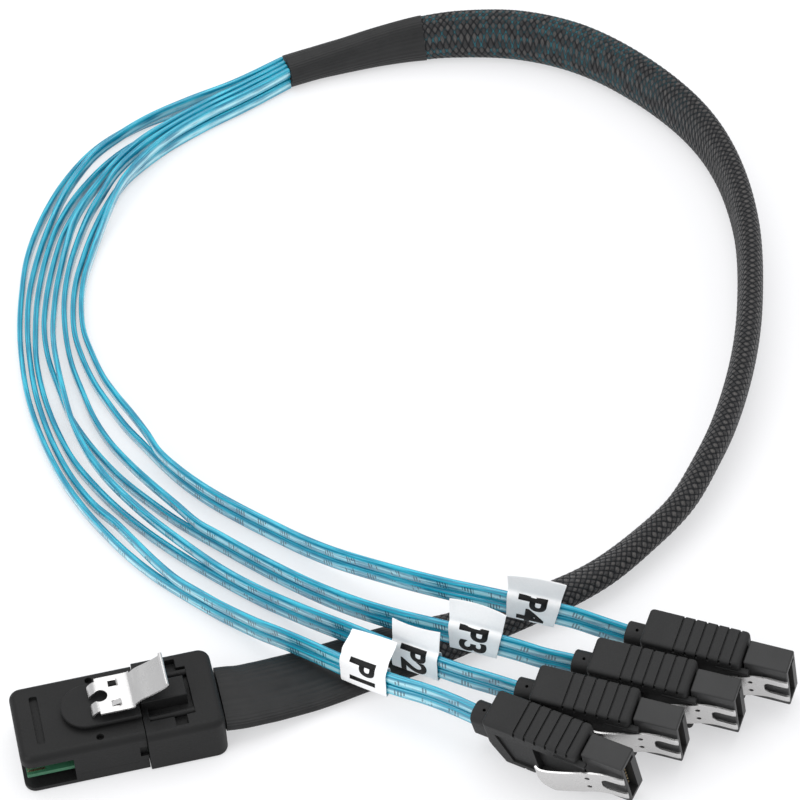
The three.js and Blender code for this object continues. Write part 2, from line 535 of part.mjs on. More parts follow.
// Twelve sided outline one unit wide and one unit tall, flatter than a ring.
function softOutline() {
  const points = [];
  for (let i = 0; i < 12; i += 1) {
    const angle = ((i + 0.5) / 12) * Math.PI * 2;
    const x = Math.sign(Math.cos(angle)) * Math.abs(Math.cos(angle)) ** 0.8;
    const y = Math.sign(Math.sin(angle)) * Math.abs(Math.sin(angle)) ** 0.8;
    points.push(new THREE.Vector2(x / 2, y / 2));
  }
  return new THREE.Shape(points);
}

const sleeveLength = sleeveRoute.getLength();
const seam = GAP / sleeveLength;
function addSleeve(name, from, to, pieces, look) {
  addMesh(name, layAlong(softOutline(), sleeveRoute, from, to, pieces, sleeveSection), look);
}
addSleeve('ribbon_sleeve', 0, RIBBON_END, SLEEVE_PIECES.ribbon, SHRINK);
addSleeve('braided_sleeve', RIBBON_END + seam, BRAID_END, SLEEVE_PIECES.braid, BRAID);
addSleeve('breakout_tube', BRAID_END + seam, 1, SLEEVE_PIECES.tube, SHRINK);

// The leads and their paper flags

function leadOutline() {
  const x = LEAD.thick / 2;
  const y = LEAD.tall / 2;
  const cut = LEAD.edge;
  return new THREE.Shape([
    new THREE.Vector2(-x, -y + cut), new THREE.Vector2(-x + cut, -y),
    new THREE.Vector2(x - cut, -y), new THREE.Vector2(x, -y + cut),
    new THREE.Vector2(x, y - cut), new THREE.Vector2(x - cut, y),
    new THREE.Vector2(-x + cut, y), new THREE.Vector2(-x, y - cut),
  ]);
}

// The flag wraps both leads and stands above them as one folded tongue.
function flagOutline() {
  const half = LEAD.thick / 2 + GAP + FLAG.wall;
  const low = -(LEAD.rise + LEAD.tall) / 2 - GAP - FLAG.wall;
  const neck = -low - FLAG.wall;
  const top = low + FLAG.tall;
  const shape = new THREE.Shape([
    new THREE.Vector2(-half, low), new THREE.Vector2(half, low),
    new THREE.Vector2(half, neck), new THREE.Vector2(FLAG.wall, -low + FLAG.wall),
    new THREE.Vector2(FLAG.wall, top), new THREE.Vector2(-FLAG.wall, top),
    new THREE.Vector2(-FLAG.wall, -low + FLAG.wall), new THREE.Vector2(-half, neck),
  ]);
  const hollow = half - FLAG.wall;
  shape.holes.push(new THREE.Path([
    new THREE.Vector2(-hollow, low + FLAG.wall), new THREE.Vector2(-hollow, neck),
    new THREE.Vector2(hollow, neck), new THREE.Vector2(hollow, low + FLAG.wall),
  ]));
  return shape;
}

LEAD_PAIRS.forEach((pair, port) => {
  const number = port + 1;
  const lower = smoothRoute([...pair, ...LOWER_LEADS[port]]);
  const raised = pair.map(([x, y, z]) => [x, y, z + LEAD.rise]);
  const upper = smoothRoute([...raised, ...UPPER_LEADS[port]]);
  addMesh(`lead_${number}_lower`, layAlong(leadOutline(), lower, 0, 1, LEAD.pieces, plainSection), BLUE);
  addMesh(`lead_${number}_upper`, layAlong(leadOutline(), upper, 0, 1, LEAD.pieces, plainSection), BLUE);
  const middle = smoothRoute(pair.map(([x, y, z]) => [x, y, z + LEAD.rise / 2]));
  const from = (FLAG_PLACES[port] - FLAG.long / 2) / middle.getLength();
  const to = (FLAG_PLACES[port] + FLAG.long / 2) / middle.getLength();
  addMesh(`port_label_${number}`, layAlong(flagOutline(), middle, from, to, FLAG.pieces, plainSection), PAPER);
});

// The four small plugs

function grooveCutter() {
  const half = MOLD.thick / 2;
  const width = GROOVE.wide / 2;
  const outer = box([-width, -half - OVER, MOLD.tall - GROOVE.wrap], [width, half + OVER, MOLD.tall + OVER]);
  const kept = box(
    [-OVER, -half + GROOVE.deep, -OVER],
    [OVER, half - GROOVE.deep, MOLD.tall - GROOVE.deep],
  );
  return outer.subtract(kept);
}

function driveOvermold() {
  const half = MOLD.thick / 2;
  const reliefHalf = RELIEF.thick / 2;
  const heel = new THREE.Shape([
    new THREE.Vector2(0, -OVER), new THREE.Vector2(HEEL.x + 0.4, -OVER), new THREE.Vector2(HEEL.x, 0),
    new THREE.Vector2(HEEL.top, HEEL.z), new THREE.Vector2(0, HEEL.z),
  ]);
  const heelCut = solidOf(new THREE.ExtrudeGeometry(heel, { depth: MOLD.thick + 2 * OVER, bevelEnabled: false })
    .rotateX(Math.PI / 2)
    .translate(0, half + OVER, 0));
  let mold = softBlock([RELIEF.long, -half, 0], [MOLD.front, half, MOLD.tall], MOLD.edge, MOLD.corner)
    .subtract(heelCut)
    .add(softBlock(
      [0, -reliefHalf, MOLD_MIDDLE - RELIEF.tall / 2],
      [RELIEF.long + RELIEF.root, reliefHalf, MOLD_MIDDLE + RELIEF.tall / 2],
      RELIEF.edge,
      0.3,
    ));
  const cutter = grooveCutter();
  const under = cutter.scale([1, 1, -1]).translate([0, 0, MOLD.tall]);
  for (let i = 0; i < GROOVE.count; i += 1) {
    const x = GROOVE.first + i * GROOVE.pitch;
    mold = mold.subtract(cutter.translate([x, 0, 0])).subtract(under.translate([x, 0, 0]));
  }
  const panel = new THREE.Shape([
    new THREE.Vector2(PANEL.rear + PANEL.slant, PANEL.low), new THREE.Vector2(PANEL.front, PANEL.low),
    new THREE.Vector2(PANEL.front, PANEL.high), new THREE.Vector2(PANEL.rear, PANEL.high),
  ]);
  const panelCut = solidOf(new THREE.ExtrudeGeometry(panel, { depth: OVER, bevelEnabled: false })
    .rotateX(Math.PI / 2)
    .translate(0, -half + PANEL.deep, 0));
  const well = box(
    [WELL.rear, -half - OVER, WELL.low],
    [WELL.front, -half + WELL.deep, WELL.high],
  );
  const rail = box([RAIL_BAR.rear, -RAIL_BAR.out, RAIL_BAR.low], [RAIL_BAR.front, -RAIL_BAR.in, RAIL_BAR.high]);
  const socket = box(
    [TANG.rear - GAP, -TANG.thick / 2 - GAP + 0.6, MOLD_MIDDLE - TANG.tall / 2 - GAP],
    [MOLD.front + OVER, TANG.thick / 2 + GAP + 0.6, MOLD_MIDDLE + TANG.tall / 2 + GAP],
  );
  return mold.subtract(panelCut).subtract(well).subtract(socket).add(rail);
}

function driveNose() {
  const half = NOSE.thick / 2;
  const low = MOLD_MIDDLE - NOSE.tall / 2;
  const body = softBlock([NOSE.rear, -half, low], [NOSE.front, half, low + NOSE.tall], NOSE.edge, 0.25)
    .add(box(
      [TANG.rear, -TANG.thick / 2 + 0.6, MOLD_MIDDLE - TANG.tall / 2],
      [NOSE.rear + OVER, TANG.thick / 2 + 0.6, MOLD_MIDDLE + TANG.tall / 2],
    ));
  const mouthLow = MOLD_MIDDLE - MOUTH.tall / 2;
  const mouth = box(
    [NOSE.front - MOUTH.deep, MOUTH.near, mouthLow],
    [NOSE.front + OVER, MOUTH.far, mouthLow + MOUTH.tall],
  );
  const leg = box(
    [NOSE.front - MOUTH.deep, MOUTH.near, mouthLow + MOUTH.tall - MOUTH.leg],
    [NOSE.front + OVER, MOUTH.far + MOUTH.legTall / 2, mouthLow + MOUTH.tall],
  );
  return body.subtract(mouth).subtract(leg);
}

function driveContacts() {
  const span = (COMB.beams - 1) * COMB.pitch;
  const halfThick = COMB.thick / 2;
  let comb = box(
    [COMB.rear, COMB.y - halfThick, MOLD_MIDDLE - span / 2 - COMB.wide / 2],
    [COMB.front, COMB.y + halfThick, MOLD_MIDDLE + span / 2 + COMB.wide / 2],
  );
  for (let i = 0; i < COMB.beams; i += 1) {
    const z = MOLD_MIDDLE - span / 2 + i * COMB.pitch;
    comb = comb.add(box(
      [COMB.front - 0.1, COMB.y - halfThick, z - COMB.wide / 2],
      [COMB.tip, COMB.y + halfThick, z + COMB.wide / 2],
    ));
  }
  return comb;
}

function driveLatch(pressed) {
  const curve = new THREE.SplineCurve(DRIVE_LATCH_PATH.map(([x, y]) => new THREE.Vector2(x, y)));
  const outline = stripOutline(curve.getPoints(22).map((p) => [p.x, p.y]), DRIVE_LATCH.thick);
  const low = MOLD_MIDDLE - DRIVE_LATCH.tall / 2;
  const strip = upright(outline, low, low + DRIVE_LATCH.tall);
  const slotHalf = DRIVE_LATCH.tall / 2 - DRIVE_LATCH.prong;
  const slot = box(
    [DRIVE_LATCH.slotRear, -9, MOLD_MIDDLE - slotHalf],
    [NOSE.front + OVER, 0, MOLD_MIDDLE + slotHalf],
  );
  const taper = new THREE.Shape([
    new THREE.Vector2(10, low - OVER), new THREE.Vector2(LATCH_TAPER.x, low - OVER),
    new THREE.Vector2(LATCH_TAPER.x, low), new THREE.Vector2(10, low + LATCH_TAPER.low * 6),
  ]);
  const taperCut = solidOf(new THREE.ExtrudeGeometry(taper, { depth: 12, bevelEnabled: false })
    .rotateX(Math.PI / 2));
  const free = strip.subtract(slot).subtract(taperCut);
  return free.translate([-DRIVE_LATCH.pivotX, -DRIVE_LATCH.pivotY, 0])
    .rotate([0, 0, -pressed])
    .translate([DRIVE_LATCH.pivotX, DRIVE_LATCH.pivotY, 0]);
}

DRIVE_PLUGS.forEach((plug, port) => {
  const number = port + 1;
  const turn = new THREE.Euler(plug.lean * DEGREE, plug.pitch * DEGREE, plug.yaw * DEGREE, 'ZYX');
  const pieces = [
    ['drive_overmold', geometryOf(driveOvermold()), GREY_PLASTIC],
    ['drive_nose', geometryOf(driveNose()), GREY_PLASTIC],
    ['drive_latch', geometryOf(driveLatch(plug.pressed)), STEEL],
    ['drive_contacts', geometryOf(driveContacts()), GOLD],
  ];
  const place = new THREE.Matrix4().makeRotationFromEuler(turn)
    .multiply(new THREE.Matrix4().makeTranslation(0, 0, -MOLD_MIDDLE));
  const lowest = Math.min(...pieces.map(([, geometry]) => {
    const turned = geometry.clone().applyMatrix4(place);
    turned.computeBoundingBox();
    return turned.boundingBox.min.z;
  }));
  const onTable = new THREE.Matrix4().makeTranslation(plug.at[0], plug.at[1], -lowest).multiply(place);
  for (const [name, geometry, look] of pieces) {
    addMesh(`${name}_${number}`, geometry, look, onTable);
  }
});

export default cable;
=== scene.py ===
import json
import math

import bpy
import numpy as np
from bpy.props import FloatProperty, FloatVectorProperty, IntProperty, PointerProperty
from mathutils import Matrix, Vector


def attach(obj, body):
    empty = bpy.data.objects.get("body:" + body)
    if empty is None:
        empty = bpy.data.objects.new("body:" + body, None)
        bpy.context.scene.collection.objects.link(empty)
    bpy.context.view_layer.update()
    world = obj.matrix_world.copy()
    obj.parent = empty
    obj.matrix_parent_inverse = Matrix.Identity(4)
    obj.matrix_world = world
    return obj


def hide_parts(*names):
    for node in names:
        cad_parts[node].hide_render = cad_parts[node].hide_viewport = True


bl_info = {
    "name": "Breakout cable",
    "version": (1, 0, 0),
    "blender": (4, 5, 0),
    "location": "3D View > Sidebar > Cable",
    "description": "Dresses the breakout cable: plugs, latches, sleeve, leads and paper flags",
    "category": "Object",
}

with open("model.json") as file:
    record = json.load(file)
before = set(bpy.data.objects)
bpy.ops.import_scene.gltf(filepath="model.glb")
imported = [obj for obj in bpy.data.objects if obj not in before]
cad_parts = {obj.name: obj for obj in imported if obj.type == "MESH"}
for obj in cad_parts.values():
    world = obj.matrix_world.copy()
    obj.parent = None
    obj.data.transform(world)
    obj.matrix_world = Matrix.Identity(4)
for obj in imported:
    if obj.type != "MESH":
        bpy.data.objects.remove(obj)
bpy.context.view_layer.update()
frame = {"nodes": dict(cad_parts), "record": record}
SLOTS = [material["slot"] for material in frame["record"]["materials"]]

MM = 0.001
# The layout is drawn about the wide plug; this brings it to the frame's origin.
TO_ORIGIN = (4.27, 6.45, 0.0)

HOST_AT = (-83.7, -4.2, 0.0)
HOST_YAW = 11.2
DRIVE_PLUGS = (
    ((10.4, -5.8), 7.733, -32.4, -4, 13),
    ((19.0, -0.6), 7.848, -23.8, -3, 12),
    ((31.1, 5.8), 7.848, -23.6, -3, 12),
    ((42.6, 12.6), 7.848, -24.2, -3, 12),
)

# Flat leads: each pair shares one way to its plug, the upper lead 3.4 mm above.
RISE = 3.4
LEAD_PAIRS = (
    (
        (10.1, -5.6, 6.2), (5.5, -2.7, 6.3), (0, 0.4, 6.3), (-6.1, 3.2, 6.3), (-12.2, 6.4, 6.3),
        (-18.4, 10.3, 6.2), (-24, 14.4, 5.7), (-29.8, 19, 4.4), (-34.1, 22.6, 3),
        (-38.3, 26.1, 2.1), (-42.6, 29.5, 1.7), (-46.8, 32.9, 1.7), (-51.1, 36.5, 1.7),
    ),
    (
        (18.7, -0.4, 6.5), (13.5, 2.1, 6.5), (8.5, 4.4, 6.5), (3.3, 7.1, 6.5), (-2.8, 10.4, 6.4),
        (-8.9, 14, 6.2), (-15.1, 18.2, 5.6), (-21.3, 22.9, 4.2), (-27.7, 28.1, 2.6),
        (-33, 32.2, 1.8), (-38.3, 36.2, 1.7),
    ),
    (
        (30.8, 6.1, 6.1), (25, 7.8, 6.6), (19.9, 9.4, 7.6), (13.9, 11.2, 8.6), (7.8, 13.3, 9),
        (1.7, 16, 8.6), (-4.5, 19.4, 7.4), (-10.7, 23.5, 5.8), (-17, 28.2, 4.2),
        (-23.3, 33.3, 2.8), (-29.7, 38.6, 1.9), (-36.1, 43.7, 1.7), (-42.6, 49, 1.7),
        (-47, 52.6, 1.7),
    ),
    (
        (42.3, 12.9, 6.5), (36.9, 14.9, 7.4), (31.7, 16.3, 8.9), (25.6, 17.6, 10.2), (18.5, 19.6, 11),
        (12.4, 22, 10.8), (6.3, 25, 9.8), (0.1, 28.8, 8.2), (-6.1, 33, 6.4),
        (-12.4, 37.4, 4.6), (-18.8, 42, 3), (-25.3, 46.9, 2), (-31.7, 51.8, 1.7),
        (-38.3, 56.8, 1.7), (-44.8, 62.2, 1.7), (-50.8, 68.2, 1.7), (-55.8, 74.5, 1.7),
    ),
)
LOWER_LEADS = (
    (
        (-56.4, 41.2, 1.7), (-61.8, 47, 1.7), (-67.2, 53.9, 1.7), (-72.6, 61.9, 1.7),
        (-77.2, 70.2, 1.7), (-81, 79, 1.7), (-84.2, 88.4, 1.7), (-86.6, 97.7, 1.7),
        (-88.4, 109, 1.7), (-89.3, 119.3, 1.7), (-89.4, 129.4, 1.7), (-88.6, 143, 1.7),
        (-85.6, 156.4, 1.7), (-80.6, 169.3, 1.7), (-73.4, 180.6, 1.7), (-62.9, 189.4, 1.7),
        (-50.4, 195.2, 1.7), (-39.4, 199.6, 1.8), (-27, 206.8, 1.9),
    ),
    (
        (-42.6, 39.6, 1.7), (-47.2, 43.4, 1.7), (-52.4, 48, 1.7), (-58.6, 54, 1.7),
        (-65.2, 61.4, 1.7), (-70.5, 68.6, 1.7), (-75.4, 76.5, 1.7), (-78.9, 84.7, 1.7),
        (-81.5, 92.4, 1.7), (-83.4, 99.8, 1.7), (-85, 109, 1.7), (-85.6, 118.6, 1.7),
        (-85.6, 127.4, 1.7), (-85, 135.5, 1.7), (-84, 143.3, 1.7), (-82.2, 152, 1.7),
        (-78.9, 161.2, 1.7), (-74.9, 168.6, 1.7), (-70.6, 174.9, 1.7), (-65.4, 180.4, 1.7),
        (-58.4, 185.5, 1.7), (-48, 190.8, 1.7), (-38, 197.4, 1.8), (-26.5, 205.3, 1.9),
    ),
    (
        (-52.2, 57, 1.7), (-58.5, 63.3, 1.7), (-64, 69.4, 1.7), (-68.8, 76, 1.7),
        (-73, 82.9, 1.7), (-76.7, 90.5, 1.7), (-79.6, 99.5, 1.7), (-82.3, 109.3, 1.7),
        (-83.6, 119, 1.7), (-83.5, 128, 1.7), (-82.9, 135.2, 1.7), (-81.9, 142.4, 1.7),
        (-80.3, 150.3, 1.7), (-76.9, 159.6, 1.7), (-72.9, 167.3, 1.7), (-69, 173.2, 1.7),
        (-64.2, 178.4, 1.7), (-57.4, 183.6, 1.7), (-47.2, 189.4, 1.7), (-37.2, 196, 1.8),
        (-26, 203.8, 1.9),
    ),
    (
        (-59.3, 79.5, 1.7), (-63.9, 86.1, 1.7), (-67.9, 93.3, 1.7), (-71.5, 100.5, 1.7),
        (-74.5, 108.8, 1.7), (-76.5, 117, 1.7), (-77.1, 126.8, 1.7), (-76.6, 134.5, 1.7),
        (-75.4, 141.3, 1.7), (-73.7, 148.8, 1.7), (-71.3, 156.8, 1.7), (-68.8, 163.3, 1.7),
        (-65.6, 169.6, 1.7), (-61.3, 175, 1.7), (-55.5, 180.9, 1.7), (-46.4, 188, 1.7),
        (-36.3, 194.6, 1.8), (-25.5, 202.3, 1.9),
    ),
)
UPPER_LEADS = (
    (
        (-55.6, 41.6, 5.1), (-60.4, 48, 5), (-65.1, 55.3, 3.6), (-70.4, 62.6, 2),
        (-75.2, 70.6, 1.7), (-79.1, 79.2, 1.7), (-82.3, 88.6, 1.7), (-84.8, 98.4, 1.7),
        (-86.6, 109.7, 1.7), (-87.5, 119.2, 1.7), (-87.6, 129.2, 1.7), (-86.8, 138, 1.7),
        (-85.4, 146.6, 1.7), (-83.6, 154, 2), (-80.9, 162.2, 3), (-77.4, 168.9, 4.3),
        (-73.2, 175.4, 5.1), (-67.8, 181.4, 5.1), (-60.4, 187.6, 5.1), (-50.2, 193.6, 5.1),
        (-39.2, 199, 5.2), (-27, 206.8, 5.3),
    ),
    (
        (-42.6, 39.8, 5.1), (-47, 44, 5.1), (-51.9, 49, 5.1), (-57.5, 55, 5.1),
        (-63.2, 61.9, 5.1), (-68.2, 69, 5.1), (-72.2, 76.4, 5.1), (-75.5, 85.2, 5.1),
        (-77.8, 94.6, 5.1), (-79.6, 103.6, 5.1), (-80.7, 110.5, 4.2), (-81.4, 118, 2.6),
        (-81.5, 125, 1.8), (-81.2, 132, 1.7), (-80.4, 139, 2), (-79.2, 145.6, 3.2),
        (-77.6, 151.6, 4.8), (-75.4, 157.6, 5.1), (-72.6, 163.4, 5.1), (-69.4, 169.4, 5.1),
        (-65.6, 175, 5.1), (-61.4, 180, 5.1), (-56, 184.6, 5.1), (-48, 190.8, 5.1),
        (-38, 197.4, 5.2), (-26.5, 205.3, 5.3),
    ),
    (
        (-51.7, 58.2, 5.1), (-57.6, 65.6, 4.6), (-62.8, 73.4, 3.2), (-67.2, 80.9, 2),
        (-71, 88.8, 1.7), (-74.1, 97.8, 1.7), (-76.7, 106.3, 1.7), (-78.4, 115.5, 1.7),
        (-79.2, 125, 1.7), (-79.1, 132, 1.7), (-78.2, 140.5, 1.7), (-76.5, 149, 1.8),
        (-74.2, 156.4, 2.6), (-71.2, 162.2, 3.9), (-68.4, 167.4, 5.1), (-65.2, 172.6, 5.1),
        (-61.6, 177, 5.1), (-56.4, 182, 5.1), (-47.2, 189.4, 5.1), (-37.2, 196, 5.2),
        (-26, 203.8, 5.3),
    ),
    (
        (-58.5, 80, 5.1), (-62.2, 87.3, 4.3), (-66, 94.6, 3), (-69.4, 101.9, 1.9),
        (-72.3, 110, 1.7), (-74.4, 117.6, 1.7), (-75.2, 127, 1.7), (-74.7, 136, 1.7),
        (-73.4, 142.9, 1.7), (-71.6, 149.8, 2.5), (-69.2, 157.2, 4), (-66.4, 164.4, 5.1),
        (-63.4, 170.1, 5.1), (-59.9, 175.2, 5.1), (-54.9, 180.9, 5.1), (-46.4, 188, 5.1),
        (-36.3, 194.6, 5.2), (-25.5, 202.3, 5.3),
    ),
)

# Sleeve: place, lift above rest, width, thickness and turn onto its edge.
SLEEVE = (
    (-42.2, 4.1, 3.6, 16.4, 3.2, 0), (-38.1, 4.9, 3.1, 16.4, 3.2, 0), (-33.7, 6.6, 2, 16.4, 3.2, 0),
    (-28.9, 8.6, 1, 16.2, 3.2, 0), (-24.8, 10.2, 0.4, 16, 3.2, 0), (-19.5, 12.1, 0.2, 15.6, 3.3, 0),
    (-14.3, 13.9, 0.2, 15, 3.4, 0), (-9, 15.6, 0.2, 14.5, 3.6, 0), (-3.7, 17.1, 0.2, 14, 3.9, 0),
    (1.6, 18.6, 0.2, 13, 4.2, 2), (7, 20.2, 0.2, 12, 4.5, 5), (12.3, 21.9, 0.2, 11, 5, 9),
    (17.7, 23.8, 0.2, 10, 5.4, 13), (23.1, 25.9, 0.2, 9.5, 5.6, 18), (29.6, 28.6, 0.2, 9.3, 5.7, 26),
    (38.4, 33.4, 0.2, 9.3, 5.8, 38), (47.7, 41, 0.2, 9.6, 5.8, 52), (57.2, 50.8, 0.2, 10.4, 5.8, 64),
    (64, 62.2, 0.2, 11.6, 5.8, 72), (69.5, 73.7, 0.2, 12.5, 5.8, 78), (75.5, 91.8, 0.2, 13.4, 5.8, 84),
    (79.3, 110.9, 0.2, 13.8, 5.8, 88), (81.2, 135.7, 0.2, 14, 5.8, 90), (78.6, 157.6, 0.2, 14.2, 5.8, 90),
    (72.7, 173.6, 0.2, 14.5, 5.9, 90), (61.2, 190.1, 0.2, 14.8, 6, 90), (47.5, 202.6, 0.2, 15, 6, 90),
    (32.9, 209.4, 0.2, 14.8, 5.9, 90), (17.9, 211.6, 0.2, 14, 5.8, 90), (7.8, 211.5, 0.2, 12.8, 5.8, 90),
    (-2.4, 210.4, 0.2, 10.8, 6, 90), (-11.3, 208.7, 0.2, 9, 6.4, 90), (-18.9, 207, 0.2, 7.8, 6.9, 90),
    (-25.9, 204.65, 0.2, 7.4, 7.3, 90),
)
RIBBON_END = 0.132
RIBBON_RIBS = 34.0
BRAID_END = 0.9
# The braid reaches this far under the breakout tube.
TUCK = 0.3
# The wide plug: x runs back from its mouth, y across and z up from its underside.
HOST_SEAM = 25.6
HOST_HALF = 9.7
HOST_INNER = 8.45
HOST_TALL = 10.6
HOST_SPLIT = 2.9
MOUTH_LONG = 10.5
ROOF_LOW = 7.8

# A small plug: x runs forward from its strain relief.
MOLD_FRONT = 25.8
MOLD_HALF = 4.2
MOLD_TALL = 15.5
MOLD_MIDDLE = 7.75
GRIP_FIRST = 11.8
GRIP_PITCH = 2.4
CONTACT_PITCH = 1.27

# Where the photograph was taken from.
CAMERA_AT = (2.27, -391.4, 507.1)
CAMERA_LENS = 140
CAMERA_TILT = 44
CAMERA_ROLL = -3

# Turn of each spring latch at rest, pressed in by the plug beside it.
LATCH_PRESSED = (0, 6, 6, 6)

# Paper flags: how far along the lead pair, then how far the tongue leans over.
FLAG_LONG = 10.5
FLAGS = ((25.2, 74), (22.4, 2), (21.0, 12), (20.3, -3))


# Finishes: shader maths written as ordinary sums


class Value:
    """A number that changes over a surface."""

    def __init__(self, finish, socket):
        self.finish = finish
        self.socket = socket

    def __add__(self, other):
        return self.finish.maths("ADD", self, other)

    __radd__ = __add__

    def __sub__(self, other):
        return self.finish.maths("SUBTRACT", self, other)

    def __rsub__(self, other):
        return self.finish.maths("SUBTRACT", other, self)

    def __mul__(self, other):
        return self.finish.maths("MULTIPLY", self, other)

    __rmul__ = __mul__

    def __lt__(self, other):
        return self.finish.maths("LESS_THAN", self, other)

    def fraction(self):
        return self.finish.maths("FRACT", self)

    def floor(self):
        return self.finish.maths("FLOOR", self)

    def size(self):
        return self.finish.maths("ABSOLUTE", self)

    def wave(self):
        return self.finish.maths("SINE", self * math.tau) * 0.5 + 0.5

    def within(self, low, high):
        """Runs from 0 at low to 1 at high, and stays there."""
        node = self.finish.node(
            "ShaderNodeMapRange",
            {"interpolation_type": "SMOOTHSTEP"},
            {"Value": self, "From Min": low, "From Max": high},
        )
        return Value(self.finish, node.outputs["Result"])


class Finish:
    """One material and its nodes."""

    def __init__(self, name, **fixed):
        self.material = bpy.data.materials.new(name)
        self.material.use_nodes = True
        self.tree = self.material.node_tree
        self.shader = self.tree.nodes["Principled BSDF"]
        for key, value in fixed.items():
            self.shader.inputs[key.replace("_", " ")].default_value = value

    def node(self, kind, settings=None, inputs=None):
        made = self.tree.nodes.new(kind)
        for key, value in (settings or {}).items():
            setattr(made, key, value)
        for key, value in (inputs or {}).items():
            socket = made.inputs[key]
            if isinstance(value, Value):
                self.tree.links.new(value.socket, socket)
            else:
                socket.default_value = value
        return made

    def maths(self, operation, *terms):
        made = self.tree.nodes.new("ShaderNodeMath")
        made.operation = operation
        for socket, term in zip(made.inputs, terms):
            if isinstance(term, Value):
                self.tree.links.new(term.socket, socket)
            else:
                socket.default_value = term
        return Value(self, made.outputs[0])

    def coordinates(self, source):
        node = self.node("ShaderNodeTexCoord")
        return Value(self, node.outputs[source])

    def split(self, source):
        node = self.node("ShaderNodeSeparateXYZ", None, {"Vector": self.coordinates(source)})
        return [Value(self, node.outputs[axis]) for axis in "XYZ"]

    def joined(self, x, y, z=0.0):
        node = self.node("ShaderNodeCombineXYZ", None, {"X": x, "Y": y, "Z": z})
        return Value(self, node.outputs[0])

    def stretched(self, source, scale):
        node = self.node(
            "ShaderNodeMapping", None, {"Vector": self.coordinates(source), "Scale": scale}
        )
        return Value(self, node.outputs[0])

    def noise(self, scale, detail=3.0, where=None, roughness=0.5):
        inputs = {"Scale": scale, "Detail": detail, "Roughness": roughness}
        inputs["Vector"] = self.coordinates("Object") if where is None else where
        return Value(self, self.node("ShaderNodeTexNoise", None, inputs).outputs["Fac"])

    def blend(self, factor, first, second):
        node = self.node("ShaderNodeMix", {"data_type": "RGBA"})
        for index, value in ((0, factor), (6, first), (7, second)):
            if isinstance(value, Value):
                self.tree.links.new(value.socket, node.inputs[index])
            else:
                node.inputs[index].default_value = value
        return Value(self, node.outputs[2])

    def wear(self, **changing):
        """Sets what changes over the surface, such as Base_Color or Roughness."""
        for key, value in changing.items():
            self.tree.links.new(value.socket, self.shader.inputs[key.replace("_", " ")])

    def relief(self, height, depth, strength=1.0):
        node = self.node(
            "ShaderNodeBump", None, {"Height": height, "Distance": depth, "Strength": strength}
        )
        self.tree.links.new(node.outputs[0], self.shader.inputs["Normal"])


def grey(level, warm=0.0):
    return (level + warm, level, level - warm, 1.0)


def grained_plastic(name, level, grain=2600, depth=0.00004, roughness=0.5):
    finish = Finish(name, Roughness=roughness, Specular_IOR_Level=0.2)
    fine = finish.noise(grain, 2.0)
    broad = finish.noise(120, 3.0)
    shade = finish.blend(broad, grey(level * 0.8), grey(level * 1.25))
    finish.wear(Base_Color=shade, Roughness=fine * 0.16 + (roughness - 0.06))
    finish.relief(fine, depth)
    return finish.material


def sprung_steel(name):
    finish = Finish(name, Metallic=1.0)
    rolled = finish.noise(900, 3.0, finish.stretched("Object", (1.0, 14.0, 14.0)))
    broad = finish.noise(260, 2.0)
    shade = finish.blend(rolled, grey(0.50, 0.006), grey(0.72, 0.008))
    finish.wear(Base_Color=shade, Roughness=rolled * 0.14 + broad * 0.12 + 0.16)
    finish.relief(rolled, 0.00001)
    return finish.material


def shrunk_sleeve(name):
    finish = Finish(name, Specular_IOR_Level=0.22)
    around = finish.split("UV")[0]
    ribs = (around * RIBBON_RIBS).wave()
    wrinkle = finish.noise(240, 4.0)
    shade = finish.blend(wrinkle, grey(0.012), grey(0.03))
    finish.wear(Base_Color=shade, Roughness=wrinkle * 0.2 + 0.38)
    finish.relief(ribs * 0.5 + wrinkle, 0.00012)
    return finish.material


BRAID_CARRIERS = 13
BRAID_ROWS = 165.0


def braid_finish(name):
    finish = Finish(name, Specular_IOR_Level=0.3)
    around, along, _ = finish.split("UV")
    left = around * BRAID_CARRIERS + along * BRAID_ROWS
    right = around * BRAID_CARRIERS - along * BRAID_ROWS
    over = ((left.floor() + right.floor()) * 0.5).fraction() < 0.25
    u = left.fraction()
    v = right.fraction()
    bulge = u * (1 - u) * v * (1 - v) * 16.0
    filaments = ((over * u + (1 - over) * v) * 4.0).wave()
    sheen = finish.noise(500, 3.0)
    # Painted highlight and shade: each strand is painted light at its crown and near black at its edges,
    # the strands of one direction are painted lighter as if lit, and the sheen noise paints glints.
    crown_highlight_and_shade = bulge.within(0.1, 0.8) * (over * 0.6 + 0.4) * (filaments * 0.3 + sheen * 0.7)
    strand = finish.blend(crown_highlight_and_shade, (0.006, 0.007, 0.009, 1), (0.125, 0.115, 0.108, 1))
    teal = along.within(0.66, 0.9) * finish.noise(300, 2.0).within(0.42, 0.6)
    # Painted shade: the gaps between strands are painted near black, with the teal of the leads showing
    # through towards the breakout.
    gap_shade_and_teal = finish.blend(teal, (0.002, 0.003, 0.004, 1), (0.02, 0.13, 0.16, 1))
    gap = 1 - bulge.within(0.02, 0.3)
    finish.wear(
        Base_Color=finish.blend(gap, strand, gap_shade_and_teal),
        Roughness=gap * 0.3 + filaments * 0.12 + 0.34,
    )
    finish.relief(bulge * 0.8 + filaments * 0.2, 0.0003)
    return finish.material


